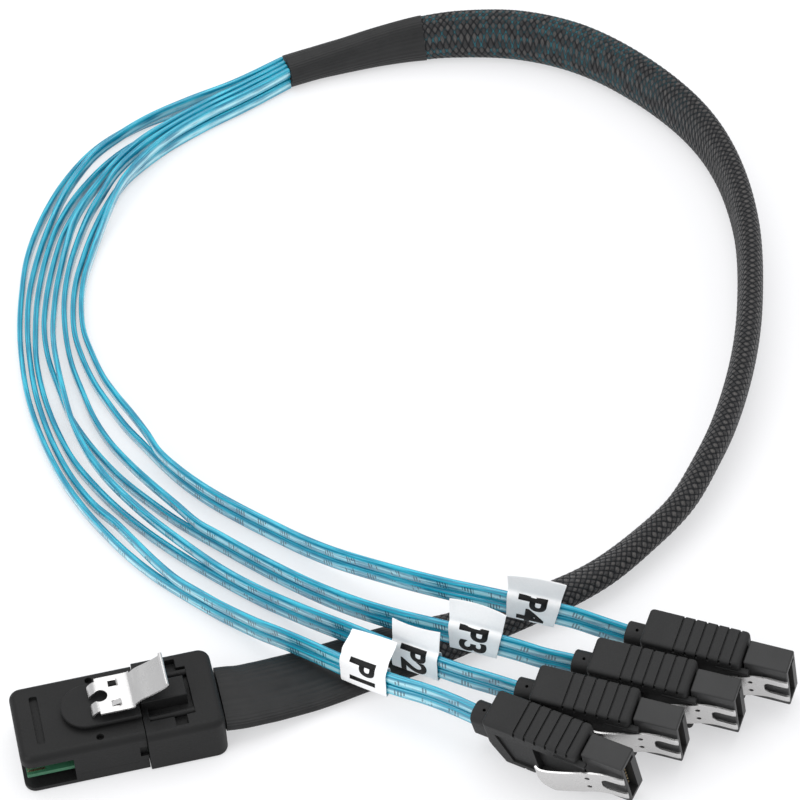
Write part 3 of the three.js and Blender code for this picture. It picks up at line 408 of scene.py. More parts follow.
def blue_jacket(name):
    finish = Finish(name, IOR=1.48, Coat_Roughness=0.06)
    around, along, _ = finish.split("UV")
    side = ((around - 0.5).size() * 2.0 - 0.5).size()
    streak = finish.noise(1.0, 3.0, finish.joined(around * 14.0, along * 24.0))
    bright = finish.blend(streak.within(0.38, 0.66), (0.0, 0.2, 0.33, 1), (0.025, 0.47, 0.62, 1))
    # Painted highlight: the middle of each broad face is painted pale cyan in streaks, as if lit, while the
    # top and bottom edges keep the darker teal.
    painted_face_highlight = side.within(0.36, 0.5) * streak.within(0.3, 0.6)
    shade = finish.blend(painted_face_highlight * 0.75, bright, (0.58, 0.9, 0.95, 1))
    marks = (along * 46.0).fraction().within(0.55, 0.56) * (along * 420.0).fraction().within(0.4, 0.5)
    near = (around - 0.5).size().within(0.42, 0.45) * (1 - along.within(0.4, 0.5))
    marks = marks * near * finish.noise(700, 1.0).within(0.42, 0.5)
    shade = finish.blend(marks * 0.75, shade, (0.01, 0.05, 0.09, 1))
    finish.wear(Base_Color=shade, Roughness=streak * 0.14 + 0.14, Coat_Weight=streak * 0.3 + 0.5)
    return finish.material


def flag_paper(name):
    finish = Finish(name)
    fibre = finish.noise(1800, 3.0)
    shade = finish.blend(fibre, grey(0.9), grey(0.97))
    finish.wear(Base_Color=shade, Roughness=fibre * 0.2 + 0.5)
    finish.relief(fibre, 0.00003)
    return finish.material


def gold_plate(name):
    finish = Finish(name, Metallic=1.0)
    spots = finish.noise(1500, 2.0)
    finish.wear(
        Base_Color=finish.blend(spots, (0.66, 0.5, 0.26, 1), (0.86, 0.72, 0.46, 1)),
        Roughness=spots * 0.2 + 0.2,
    )
    return finish.material


def card_mask(name):
    finish = Finish(name)
    spots = finish.noise(800, 3.0)
    finish.wear(
        Base_Color=finish.blend(spots, (0.02, 0.1, 0.05, 1), (0.05, 0.19, 0.1, 1)),
        Roughness=spots * 0.2 + 0.3,
    )
    return finish.material


def cloudy_resin(name):
    finish = Finish(name)
    cloud = finish.noise(300, 3.0)
    finish.wear(
        Base_Color=finish.blend(cloud, (0.6, 0.56, 0.46, 1), (0.76, 0.72, 0.62, 1)),
        Roughness=cloud * 0.2 + 0.4,
    )
    return finish.material


FINISH_MAKERS = {
    "host_black": lambda: grained_plastic("Host black", 0.011),
    "mold_grey": lambda: grained_plastic("Moulded grey", 0.02, 2200, 0.00005, 0.55),
    "nose_grey": lambda: grained_plastic("Nose grey", 0.032, 3000, 0.00002, 0.42),
    "latch_steel": lambda: sprung_steel("Spring steel"),
    "shrink_black": lambda: shrunk_sleeve("Shrunk sleeve"),
    "braid_grey": lambda: braid_finish("Braid"),
    "lead_blue": lambda: blue_jacket("Blue jacket"),
    "label_paper": lambda: flag_paper("Flag paper"),
    "contact_gold": lambda: gold_plate("Gold plate"),
    "card_green": lambda: card_mask("Card mask"),
    "wire_resin": lambda: cloudy_resin("Wire resin"),
    "print_ink": lambda: grained_plastic("Print ink", 0.008, 900, 0.00001, 0.5),
}
made_finishes = {}


def finish_of(name):
    if name not in made_finishes:
        made_finishes[name] = FINISH_MAKERS[name]()
    return made_finishes[name]


# Making and finishing pieces


def nothing_selected():
    if bpy.context.object and bpy.context.object.mode != "OBJECT":
        bpy.ops.object.mode_set(mode="OBJECT")
    bpy.ops.object.select_all(action="DESELECT")


def dress(piece, name, slot, body, *nodes):
    """Gives a finished piece its name, finish and body, and hides the nodes that it stands for."""
    piece.name = name
    piece.data.materials.clear()
    piece.data.materials.append(finish_of(slot))
    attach(piece, body)
    slot in SLOTS
    if nodes:
        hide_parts(*nodes)
    return piece


def smooth_line(knots, steps=32):
    """A centripetal curve through the knots, and how many knots each point has passed."""
    dense = []
    marks = []
    last = len(knots) - 1
    for i in range(last):
        second, third = knots[i], knots[i + 1]
        first = knots[i - 1] if i else 2 * second - third
        fourth = knots[i + 2] if i + 2 <= last else 2 * third - second
        gaps = [
            math.sqrt(np.linalg.norm(b - a))
            for a, b in ((first, second), (second, third), (third, fourth))
        ]
        start = (second - first) / gaps[0] - (third - first) / (gaps[0] + gaps[1])
        start = (start + (third - second) / gaps[1]) * gaps[1]
        end = (third - second) / gaps[1] - (fourth - second) / (gaps[1] + gaps[2])
        end = (end + (fourth - third) / gaps[2]) * gaps[1]
        shares = np.linspace(0, 1, steps + 1)[: steps + (i == last - 1), None]
        square = -3 * second + 3 * third - 2 * start - end
        cube = 2 * second - 2 * third + start + end
        dense.append(second + start * shares + square * shares**2 + cube * shares**3)
        marks.append(i + shares[:, 0])
    return np.vstack(dense), np.concatenate(marks)


class Route:
    """A smooth way through given points, in metres and in the frame."""

    def __init__(self, points):
        knots = (np.array(points, float)[:, :3] + np.array(TO_ORIGIN)) * MM
        self.line, self.mark = smooth_line(knots)
        hops = np.linalg.norm(np.diff(self.line, axis=0), axis=1)
        self.reach = np.concatenate([[0], np.cumsum(hops)])
        self.length = float(self.reach[-1])

    def spots(self, where):
        """Places at distances along the route, one row each."""
        return np.stack([np.interp(where, self.reach, self.line[:, k]) for k in range(3)], 1)

    def at(self, share):
        """Place and direction at shares of the length, one row each."""
        where = np.clip(np.asarray(share, float), 0, 1) * self.length
        place = self.spots(where)
        step = self.length * 0.0015
        way = self.spots(np.minimum(where + step, self.length))
        way = way - self.spots(np.maximum(where - step, 0))
        way /= np.linalg.norm(way, axis=1)[:, None]
        return place, way

    def marks_at(self, share):
        return np.interp(np.asarray(share, float) * self.length, self.reach, self.mark)


def lay_along(name, route, start, end, around, rings, section):
    """Rolls a grid into a closed tube whose rings lie on the route.

    section(turn, share) gives, in metres, how far each point of a ring lies to
    the side of the route and above it."""
    nothing_selected()
    bpy.ops.mesh.primitive_grid_add(x_subdivisions=around, y_subdivisions=rings, size=1)
    piece = bpy.context.object
    piece.name = name
    mesh = piece.data
    flat = np.empty(len(mesh.vertices) * 3)
    mesh.vertices.foreach_get("co", flat)
    flat = flat.reshape(-1, 3)
    turn = flat[:, 0] + 0.5
    share = start + (end - start) * (flat[:, 1] + 0.5)
    turn[turn > 0.99999] = 0.0
    place, way = route.at(share)
    side = np.stack([-way[:, 1], way[:, 0], np.zeros(len(way))], 1)
    side /= np.linalg.norm(side, axis=1)[:, None]
    up = np.cross(way, side)
    out, above = section(turn, share)
    points = place + side * out[:, None] + up * above[:, None]
    mesh.vertices.foreach_set("co", points.ravel())
    mesh.update()
    bpy.ops.object.mode_set(mode="EDIT")
    bpy.ops.mesh.select_all(action="SELECT")
    bpy.ops.mesh.remove_doubles(threshold=1e-7)
    bpy.ops.mesh.select_all(action="SELECT")
    bpy.ops.mesh.fill_holes(sides=0)
    bpy.ops.mesh.select_all(action="SELECT")
    bpy.ops.mesh.normals_make_consistent(inside=False)
    bpy.ops.object.mode_set(mode="OBJECT")
    bpy.ops.object.shade_smooth_by_angle(angle=math.radians(50))
    return piece


def soft_ring(turn, power):
    """A rounded outline one unit wide and one unit tall."""
    angle = turn * math.tau
    x = np.sign(np.cos(angle)) * np.abs(np.cos(angle)) ** power
    y = np.sign(np.sin(angle)) * np.abs(np.sin(angle)) ** power
    return x / 2, y / 2


def rest_height(wide, thick, turn):
    raised = wide / 2 * math.sin(math.radians(turn))
    flat = thick / 2 * math.cos(math.radians(turn))
    corner = 0.03 * wide * math.sin(2 * math.radians(turn))
    return math.hypot(raised, flat) + corner


def sleeve_route():
    return Route([(x, y, lift + rest_height(w, t, turn)) for x, y, lift, w, t, turn in SLEEVE])


def sleeve_section(route, swell=None, power=0.8):
    table = np.array(SLEEVE, float)

    def section(turn, share):
        mark = route.marks_at(share)
        index = np.arange(len(SLEEVE))
        wide, thick, edge = (np.interp(mark, index, table[:, k]) for k in (3, 4, 5))
        x, y = soft_ring(turn, power)
        proud = swell(turn, share) if swell else 0.0
        angle = -np.radians(edge)
        reach = np.hypot(x * wide, y * thick)
        x = x * (wide + 2 * proud * np.abs(x * wide) / reach)
        y = y * (thick + 2 * proud * np.abs(y * thick) / reach)
        return (
            (x * np.cos(angle) - y * np.sin(angle)) * MM,
            (x * np.sin(angle) + y * np.cos(angle)) * MM,
        )

    return section


# Modelling helpers, in millimetres of a plug's own frame


def only(piece):
    nothing_selected()
    piece.select_set(True)
    bpy.context.view_layer.objects.active = piece


def finished(piece, kind, **settings):
    """Adds one modifier of that kind and applies it."""
    modifier = piece.modifiers.new(kind.title(), kind)
    for key, value in settings.items():
        setattr(modifier, key, value)
    only(piece)
    bpy.ops.object.modifier_apply(modifier=modifier.name)
    return piece


def soften(piece, width, segments=2, angle=30):
    return finished(
        piece, "BEVEL", width=width * MM, segments=segments, limit_method="ANGLE",
        angle_limit=math.radians(angle), use_clamp_overlap=True, harden_normals=False,
    )


def block(low, high):
    nothing_selected()
    size = [(b - a) * MM for a, b in zip(low, high)]
    middle = [(a + b) / 2 * MM for a, b in zip(low, high)]
    bpy.ops.mesh.primitive_cube_add(size=1, location=middle, scale=size)
    bpy.ops.object.transform_apply(location=True, rotation=True, scale=True)
    return bpy.context.object


def round_edges(piece, chosen, width, segments=4):
    """Bevels the edges whose middle and direction pass the test."""
    only(piece)
    bpy.ops.object.mode_set(mode="EDIT")
    bpy.ops.mesh.select_all(action="DESELECT")
    bpy.ops.mesh.select_mode(type="EDGE")
    bpy.ops.object.mode_set(mode="OBJECT")
    points = piece.data.vertices
    for edge in piece.data.edges:
        a, b = (points[i].co / MM for i in edge.vertices)
        edge.select = bool(chosen((a + b) / 2, (b - a).normalized()))
    bpy.ops.object.mode_set(mode="EDIT")
    bpy.ops.mesh.bevel(offset=width * MM, segments=segments, profile=0.5)
    bpy.ops.object.mode_set(mode="OBJECT")
    return piece


def prism(outline, low, high, axis="Z"):
    """Extrudes an outline. Across Z it is (x, y), across X (y, z), across Y (x, z)."""
    nothing_selected()
    bpy.ops.mesh.primitive_circle_add(vertices=len(outline), radius=1, fill_type="NGON")
    piece = bpy.context.object
    points = [(a * MM, b * MM, low * MM) for a, b in outline]
    piece.data.vertices.foreach_set("co", np.array(points).ravel())
    bpy.ops.object.mode_set(mode="EDIT")
    bpy.ops.mesh.select_all(action="SELECT")
    bpy.ops.mesh.extrude_region_move(TRANSFORM_OT_translate={"value": (0, 0, (high - low) * MM)})
    bpy.ops.mesh.select_all(action="SELECT")
    bpy.ops.mesh.normals_make_consistent(inside=False)
    bpy.ops.object.mode_set(mode="OBJECT")
    turns = {
        "Z": Matrix.Identity(4),
        "X": Matrix(((0, 0, 1, 0), (1, 0, 0, 0), (0, 1, 0, 0), (0, 0, 0, 1))),
        "Y": Matrix(((1, 0, 0, 0), (0, 0, -1, 0), (0, 1, 0, 0), (0, 0, 0, 1))),
    }
    return settle(piece, turns[axis])


def rod(centre, radius, long, axis="Z", sides=24):
    nothing_selected()
    turn = {"Z": (0, 0, 0), "X": (0, math.pi / 2, 0), "Y": (math.pi / 2, 0, 0)}[axis]
    bpy.ops.mesh.primitive_cylinder_add(
        vertices=sides, radius=radius * MM, depth=long * MM,
        location=[c * MM for c in centre], rotation=turn,
    )
    bpy.ops.object.transform_apply(location=True, rotation=True, scale=True)
    return bpy.context.object


def settle(piece, matrix):
    """Moves a piece and leaves its place in its mesh."""
    piece.matrix_world = matrix @ piece.matrix_world
    only(piece)
    bpy.ops.object.transform_apply(location=True, rotation=True, scale=True)
    return piece


def combine(piece, operation, *others):
    for other in others:
        finished(piece, "BOOLEAN", operation=operation, object=other, solver="EXACT")
        spare = other.data
        bpy.data.objects.remove(other)
        bpy.data.meshes.remove(spare)
    return piece


def cut(piece, *tools):
    return combine(piece, "DIFFERENCE", *tools)


def weld(piece, *others):
    return combine(piece, "UNION", *others)


def tidied(piece, angle=35):
    """Merges what touches and shades what is round."""
    only(piece)
    bpy.ops.object.mode_set(mode="EDIT")
    bpy.ops.mesh.select_all(action="SELECT")
    bpy.ops.mesh.remove_doubles(threshold=2e-6)
    bpy.ops.mesh.dissolve_degenerate(threshold=1e-6)
    bpy.ops.object.mode_set(mode="OBJECT")
    bpy.ops.object.shade_smooth_by_angle(angle=math.radians(angle))
    return finished(piece, "WEIGHTED_NORMAL", keep_sharp=True)


def copied(piece, matrix):
    """A copy with a mesh of its own, moved into the frame."""
    only(piece)
    bpy.ops.object.duplicate(linked=False)
    return settle(bpy.context.object, matrix)


def strip_outline(path, thick):
    """The outline of a bent strip of steel along a smooth path."""
    line = smooth_line(np.array(path, float), 5)[0]
    way = np.gradient(line, axis=0)
    way /= np.linalg.norm(way, axis=1)[:, None]
    across = np.stack([-way[:, 1], way[:, 0]], 1) * thick / 2
    return [tuple(p) for p in np.vstack([line + across, (line - across)[::-1]])]


def host_place():
    move = Matrix.Translation([(a + b) * MM for a, b in zip(HOST_AT, TO_ORIGIN)])
    return move @ Matrix.Rotation(math.radians(HOST_YAW), 4, "Z")


def drive_place(port):
    (x, y), rise, yaw, pitch, lean = DRIVE_PLUGS[port]
    move = Matrix.Translation([(x + TO_ORIGIN[0]) * MM, (y + TO_ORIGIN[1]) * MM, rise * MM])
    turn = (
        Matrix.Rotation(math.radians(yaw), 4, "Z")
        @ Matrix.Rotation(math.radians(pitch), 4, "Y")
        @ Matrix.Rotation(math.radians(lean), 4, "X")
    )
    return move @ turn @ Matrix.Translation((0, 0, -MOLD_MIDDLE * MM))


def path_of(route, start, end, count):
    place, _ = route.at(np.linspace(start, end, count))
    return [tuple(p) for p in place]


# Settings a user may change


class CableSleeve(bpy.types.PropertyGroup):
    weave_depth: FloatProperty(
        name="Weave depth", description="How far the strands of the braid stand proud",
        default=0.25 * MM, min=0.0, max=0.4 * MM, subtype="DISTANCE", unit="LENGTH", precision=5,
    )
    braid_rings: IntProperty(
        name="Braid rings", description="How finely the braid is divided along its length",
        default=760, min=60, max=900,
    )


class CableLeads(bpy.types.PropertyGroup):
    thickness: FloatProperty(
        name="Lead thickness", description="The thin way across one flat lead",
        default=1.3 * MM, min=0.8 * MM, max=2.0 * MM, subtype="DISTANCE", unit="LENGTH", precision=5,
    )
    height: FloatProperty(
        name="Lead height", description="The wide way across one flat lead",
        default=3.0 * MM, min=2.0 * MM, max=3.2 * MM, subtype="DISTANCE", unit="LENGTH", precision=5,
    )


class CableStage(bpy.types.PropertyGroup):
    floor_color: FloatVectorProperty(
        name="Floor colour", description="Colour of the plain floor under the cable",
        default=(0.93, 0.93, 0.94), size=3, min=0.0, max=1.0, subtype="COLOR",
    )
    lamp_power: FloatProperty(
        name="Lamp power", description="Power of the large soft lamp above", default=2.6,
        min=0.0, max=20.0, subtype="POWER", unit="POWER",
    )


# Operators


class MakeStage(bpy.types.Operator):
    """Adds the floor, the lamps, the world and the camera"""

    bl_idname = "cable.make_stage"
    bl_label = "Stage"

    def execute(self, context):
        scene = context.scene
        settings = scene.cable_stage
        scene.view_settings.view_transform = "Standard"
        nothing_selected()
        bpy.ops.mesh.primitive_plane_add(size=6.0, location=(0, 0.1, -0.0001))
        floor = context.object
        floor.name = "floor"
        finish = Finish("Pale floor")
        tree = finish.tree
        color = (*settings.floor_color, 1.0)
        diffuse = finish.node("ShaderNodeBsdfDiffuse", None, {"Color": color})
        glow = finish.node("ShaderNodeEmission", None, {"Color": color, "Strength": 1.08})
        rays = finish.node("ShaderNodeLightPath")
        camera_ray, glossy_ray = (
            Value(finish, rays.outputs[f"Is {kind} Ray"]) for kind in ("Camera", "Glossy")
        )
        seen = finish.maths("MAXIMUM", camera_ray, glossy_ray)
        lit = finish.node("ShaderNodeMixShader", None, {"Fac": 0.52})
        tree.links.new(diffuse.outputs[0], lit.inputs[1])
        tree.links.new(glow.outputs[0], lit.inputs[2])
        mixed = finish.node("ShaderNodeMixShader")
        tree.links.new(seen.socket, mixed.inputs[0])
        tree.links.new(diffuse.outputs[0], mixed.inputs[1])
        tree.links.new(lit.outputs[0], mixed.inputs[2])
        tree.links.new(mixed.outputs[0], tree.nodes["Material Output"].inputs["Surface"])
        floor.data.materials.append(finish.material)

        world = bpy.data.worlds.new("Soft studio")
        world.use_nodes = True
        scene.world = world
        nodes = world.node_tree.nodes
        links = world.node_tree.links
        soft = nodes["Background"]
        soft.inputs["Color"].default_value = (0.97, 0.98, 1.0, 1)
        soft.inputs["Strength"].default_value = 0.8
        white = nodes.new("ShaderNodeBackground")
        white.inputs["Color"].default_value = (1, 1, 1, 1)
        path = nodes.new("ShaderNodeLightPath")
        most = nodes.new("ShaderNodeMath")
        most.operation = "MAXIMUM"
        links.new(path.outputs["Is Camera Ray"], most.inputs[0])
        links.new(path.outputs["Is Transmission Ray"], most.inputs[1])
        either = nodes.new("ShaderNodeMixShader")
        links.new(most.outputs[0], either.inputs[0])
        links.new(soft.outputs[0], either.inputs[1])
        links.new(white.outputs[0], either.inputs[2])
        links.new(either.outputs[0], nodes["World Output"].inputs["Surface"])

        for name, place, size, power in (
            ("soft_above", (-0.05, 0.25, 0.75), 0.7, settings.lamp_power),
            ("soft_left", (-0.55, -0.45, 0.5), 0.5, settings.lamp_power * 0.9),
            ("soft_right", (0.6, 0.3, 0.4), 0.4, settings.lamp_power * 0.3),
        ):
            nothing_selected()
            bpy.ops.object.light_add(type="AREA", location=place)
            lamp = context.object
            lamp.name = name
            lamp.data.size = size
            lamp.data.energy = power
            aim = Vector((0.0, 0.09, 0.0)) - Vector(place)
            lamp.rotation_euler = aim.to_track_quat("-Z", "Y").to_euler()

        nothing_selected()
        bpy.ops.object.camera_add(location=[c * MM for c in CAMERA_AT])
        camera = context.object
        camera.data.lens = CAMERA_LENS
        camera.data.sensor_width = 36
        camera.data.clip_start = 0.01
        tilt = Matrix.Rotation(math.radians(CAMERA_TILT), 4, "X")
        tilt = tilt @ Matrix.Rotation(math.radians(CAMERA_ROLL), 4, "Z")
        camera.rotation_euler = tilt.to_euler()
        scene.camera = camera
        return {"FINISHED"}


class MakeSleeve(bpy.types.Operator):
    """Lays the ribbon, the braid and the breakout tube along their route"""

    bl_idname = "cable.make_sleeve"
    bl_label = "Sleeve"

    def execute(self, context):
        settings = context.scene.cable_sleeve
        route = sleeve_route()
        tuck = TUCK * MM / route.length
        depth = settings.weave_depth / MM

        def weave(turn, share):
            along = (share - RIBBON_END) / (BRAID_END - RIBBON_END)
            left = turn * BRAID_CARRIERS + along * BRAID_ROWS
            right = turn * BRAID_CARRIERS - along * BRAID_ROWS
            u, v = left % 1, right % 1
            return depth * (np.sqrt(16 * u * (1 - u) * v * (1 - v)) - 1)

        def over_braid(turn, share):
            return np.full(len(turn), 0.22)

        def ribs(turn, share):
            lines = np.cos(turn * math.tau * RIBBON_RIBS) * 0.05
            return np.minimum(lines, 0.0)

        parts = (
            ("ribbon_sleeve", 0, RIBBON_END, 136, 90, ribs, "shrink_black", 0.7),
            (
                "braided_sleeve", RIBBON_END, BRAID_END + tuck, 112, settings.braid_rings,
                weave, "braid_grey", 0.8,
            ),
            ("breakout_tube", BRAID_END, 1, 64, 70, over_braid, "shrink_black", 0.8),
        )
        for name, start, end, around, rings, swell, slot, power in parts:
            piece = lay_along(
                name + "_piece", route, start, end, around, rings, sleeve_section(route, swell, power)
            )
            dress(piece, name + "_piece", slot, "root", name)
        path = path_of(route, RIBBON_END, BRAID_END + tuck, 160)
        return {"FINISHED"}


class MakeLeads(bpy.types.Operator):
    """Lays the eight flat blue leads from the breakout tube to the drive plugs"""

    bl_idname = "cable.make_leads"
    bl_label = "Leads"

    def execute(self, context):
        settings = context.scene.cable_leads

        def section(turn, share):
            x, y = soft_ring(turn, 0.62)
            return x * settings.thickness, y * settings.height

        for port, pair in enumerate(LEAD_PAIRS):
            raised = [(x, y, z + RISE) for x, y, z in pair]
            for level, head, tail in (
                ("lower", pair, LOWER_LEADS[port]),
                ("upper", raised, UPPER_LEADS[port]),
            ):
                name = f"lead_{port + 1}_{level}"
                route = Route([*head, *tail])
                piece = lay_along(name + "_piece", route, 0, 1, 20, 240, section)
                dress(piece, name + "_piece", "lead_blue", "root", name)
                path = path_of(route, 0, 1, 80)
        return {"FINISHED"}


class MakeHostPlug(bpy.types.Operator):
    """Models the wide plug: shells, cover, card, wire block and latch"""

    bl_idname = "cable.make_host_plug"
    bl_label = "Wide plug"

    def upper_shell(self):
        shell = block((0, -HOST_HALF, HOST_SPLIT), (HOST_SEAM, HOST_HALF, HOST_TALL))
        round_edges(shell, lambda m, d: abs(d.z) > 0.9 and m.x < 0.1, 2.4, 7)
        round_edges(shell, lambda m, d: m.z > 10.5 and m.x < 25.5, 1.5, 6)
        cut(
            shell,
            block((-1, -HOST_INNER, 0), (27, HOST_INNER, ROOF_LOW)),
            block((-1, -12, 0), (MOUTH_LONG, 12, ROOF_LOW)),
        )
        slot = block((3.95, -6.25, 9.8), (5.65, 6.25, 12))
        round_edges(slot, lambda m, d: abs(d.z) > 0.9, 0.5, 4)
        cut(shell, slot)
        for side in (-1, 1):
            cut(shell, rod((16.6, side * 7.5, HOST_TALL), 0.8, 2.4))
        cut(shell, block((24.0, -12, 4.4), (27, -8.9, 7.2)))
        soften(shell, 0.05, 2, 40)

        def shelf(inset):
            half = 5.5 - inset
            curve = [
                (15.3 - half * math.cos(a), half * math.sin(a))
                for a in np.linspace(math.pi / 2, -math.pi / 2, 33)
            ]
            return [(HOST_SEAM, half), *curve, (HOST_SEAM, -half)]

        cap = prism(shelf(0), 11.5, 12.2)
        round_edges(cap, lambda m, d: m.z > 12.1 and m.x < 25.5, 0.32, 3)
        neck = prism(shelf(0.6), 10.2, 11.7)
        return weld(shell, neck, cap)

    def lower_shell(self):
        shell = block((0, -HOST_HALF, 0), (HOST_SEAM, HOST_HALF, HOST_SPLIT - 0.02))
        round_edges(shell, lambda m, d: abs(d.z) > 0.9 and m.x < 0.1, 2.4, 7)
        round_edges(shell, lambda m, d: m.z < 0.1 and m.x < 25.5, 0.5, 3)
        cut(
            shell,
            block((-1, -HOST_INNER, 1.3), (27, HOST_INNER, 12)),
            block((-1, -12, 1.3), (MOUTH_LONG, 12, 12)),
        )
        return soften(shell, 0.05, 2, 40)

    def rear_cover(self):
        cover = block((HOST_SEAM + 0.15, -10.4, 0), (42, 10.4, HOST_TALL))
        round_edges(cover, lambda m, d: abs(d.z) > 0.9 and m.x > 41.9, 2.5, 7)
        round_edges(cover, lambda m, d: m.z > 10.5 and m.x > 25.8, 1.5, 6)
        round_edges(cover, lambda m, d: m.z < 0.1 and m.x > 25.8, 0.6, 3)
        cut(
            cover,
            block((24, -HOST_INNER, 1.5), (38.6, HOST_INNER, 8.8)),
            block((27.1, -6.2, 9.3), (36.4, 6.2, 12)),
            block((32.1, 5.8, 9.0), (34.6, 8.6, 12)),
            block((32.1, -8.6, 9.0), (34.6, -5.8, 12)),
        )
        soften(cover, 0.16, 2, 40)
        guide = block((25.9, -2.6, 9.0), (35.5, 2.6, 12.4))
        round_edges(guide, lambda m, d: m.z > 12.3, 0.3, 3)
        weld(cover, guide)
        for side in (-1, 1):
            weld(cover, rod((31.1, side * 5.1, 9.85), 0.75, 10.6, "X", 28))
        return cover

    def latch(self):
        path = (
            (16.0, 12.75), (16.5, 13.4), (17.3, 13.9), (19.5, 14.0), (22.0, 14.0), (24.4, 14.1),
            (25.2, 14.6), (26.0, 15.3), (28.6, 16.4), (31.0, 17.6), (31.6, 18.1),
        )
        latch = prism(strip_outline(path, 0.4), -4.7, 4.7, "Y")
        weld(latch, rod((31.6, 0, 18.45), 0.42, 9.4, "Y", 20))
        for side in (-1, 1):
            near, far = sorted((side * 4.2, side * 7))
            cut(latch, block((24.8, near, 12), (40, far, 22)))
            near, far = sorted((side * 3.9, side * 7))
            cut(latch, block((15, near, 12), (17.6, far, 15)))
            shut = block((20.2, side * 2.6 - 0.75, 13.4), (21.9, side * 2.6 + 0.75, 15))
            cut(latch, shut)
            wedge = [(19.9, 14.0), (22.3, 14.05), (22.1, 14.75)]
            weld(latch, prism(wedge, side * 2.6 - 0.6, side * 2.6 + 0.6, "Y"))
        cut(latch, block((15, -1.1, 12), (18.2, 1.1, 15)), rod((18.2, 0, 14), 1.5, 4))
        return soften(latch, 0.06, 2, 50)

    def execute(self, context):
        place = host_place()
        edge_card = block((0.8, -8.15, 3.1), (33, 8.15, 4.0))
        soften(edge_card, 0.06, 1, 40)
        wire_block = block((31, -7.4, 4.3), (38.2, 7.4, 8.3))
        soften(wire_block, 0.6, 3, 40)
        pads = [block((1.0, y - 0.25, 3.95), (4.6, y + 0.25, 4.06)) for y in np.arange(-7.2, 7.3, 0.8)]
        nothing_selected()
        for pad in pads:
            pad.select_set(True)
        context.view_layer.objects.active = pads[0]
        bpy.ops.object.join()
        dress(settle(tidied(pads[0]), place), "host_card_pads", "contact_gold", "root")
        pieces = (
            (self.upper_shell(), "host_upper_shell", "host_black", "root"),
            (self.lower_shell(), "host_lower_shell", "host_black", "root"),
            (self.rear_cover(), "host_rear_cover", "host_black", "root"),
            (edge_card, "host_edge_card", "card_green", "root"),
            (wire_block, "host_wire_block", "wire_resin", "root"),
            (self.latch(), "host_latch", "latch_steel", "host_latch"),
        )
        for piece, node, slot, body in pieces:
            settle(tidied(piece), place)
            dress(piece, node + "_piece", slot, body, node)
        return {"FINISHED"}


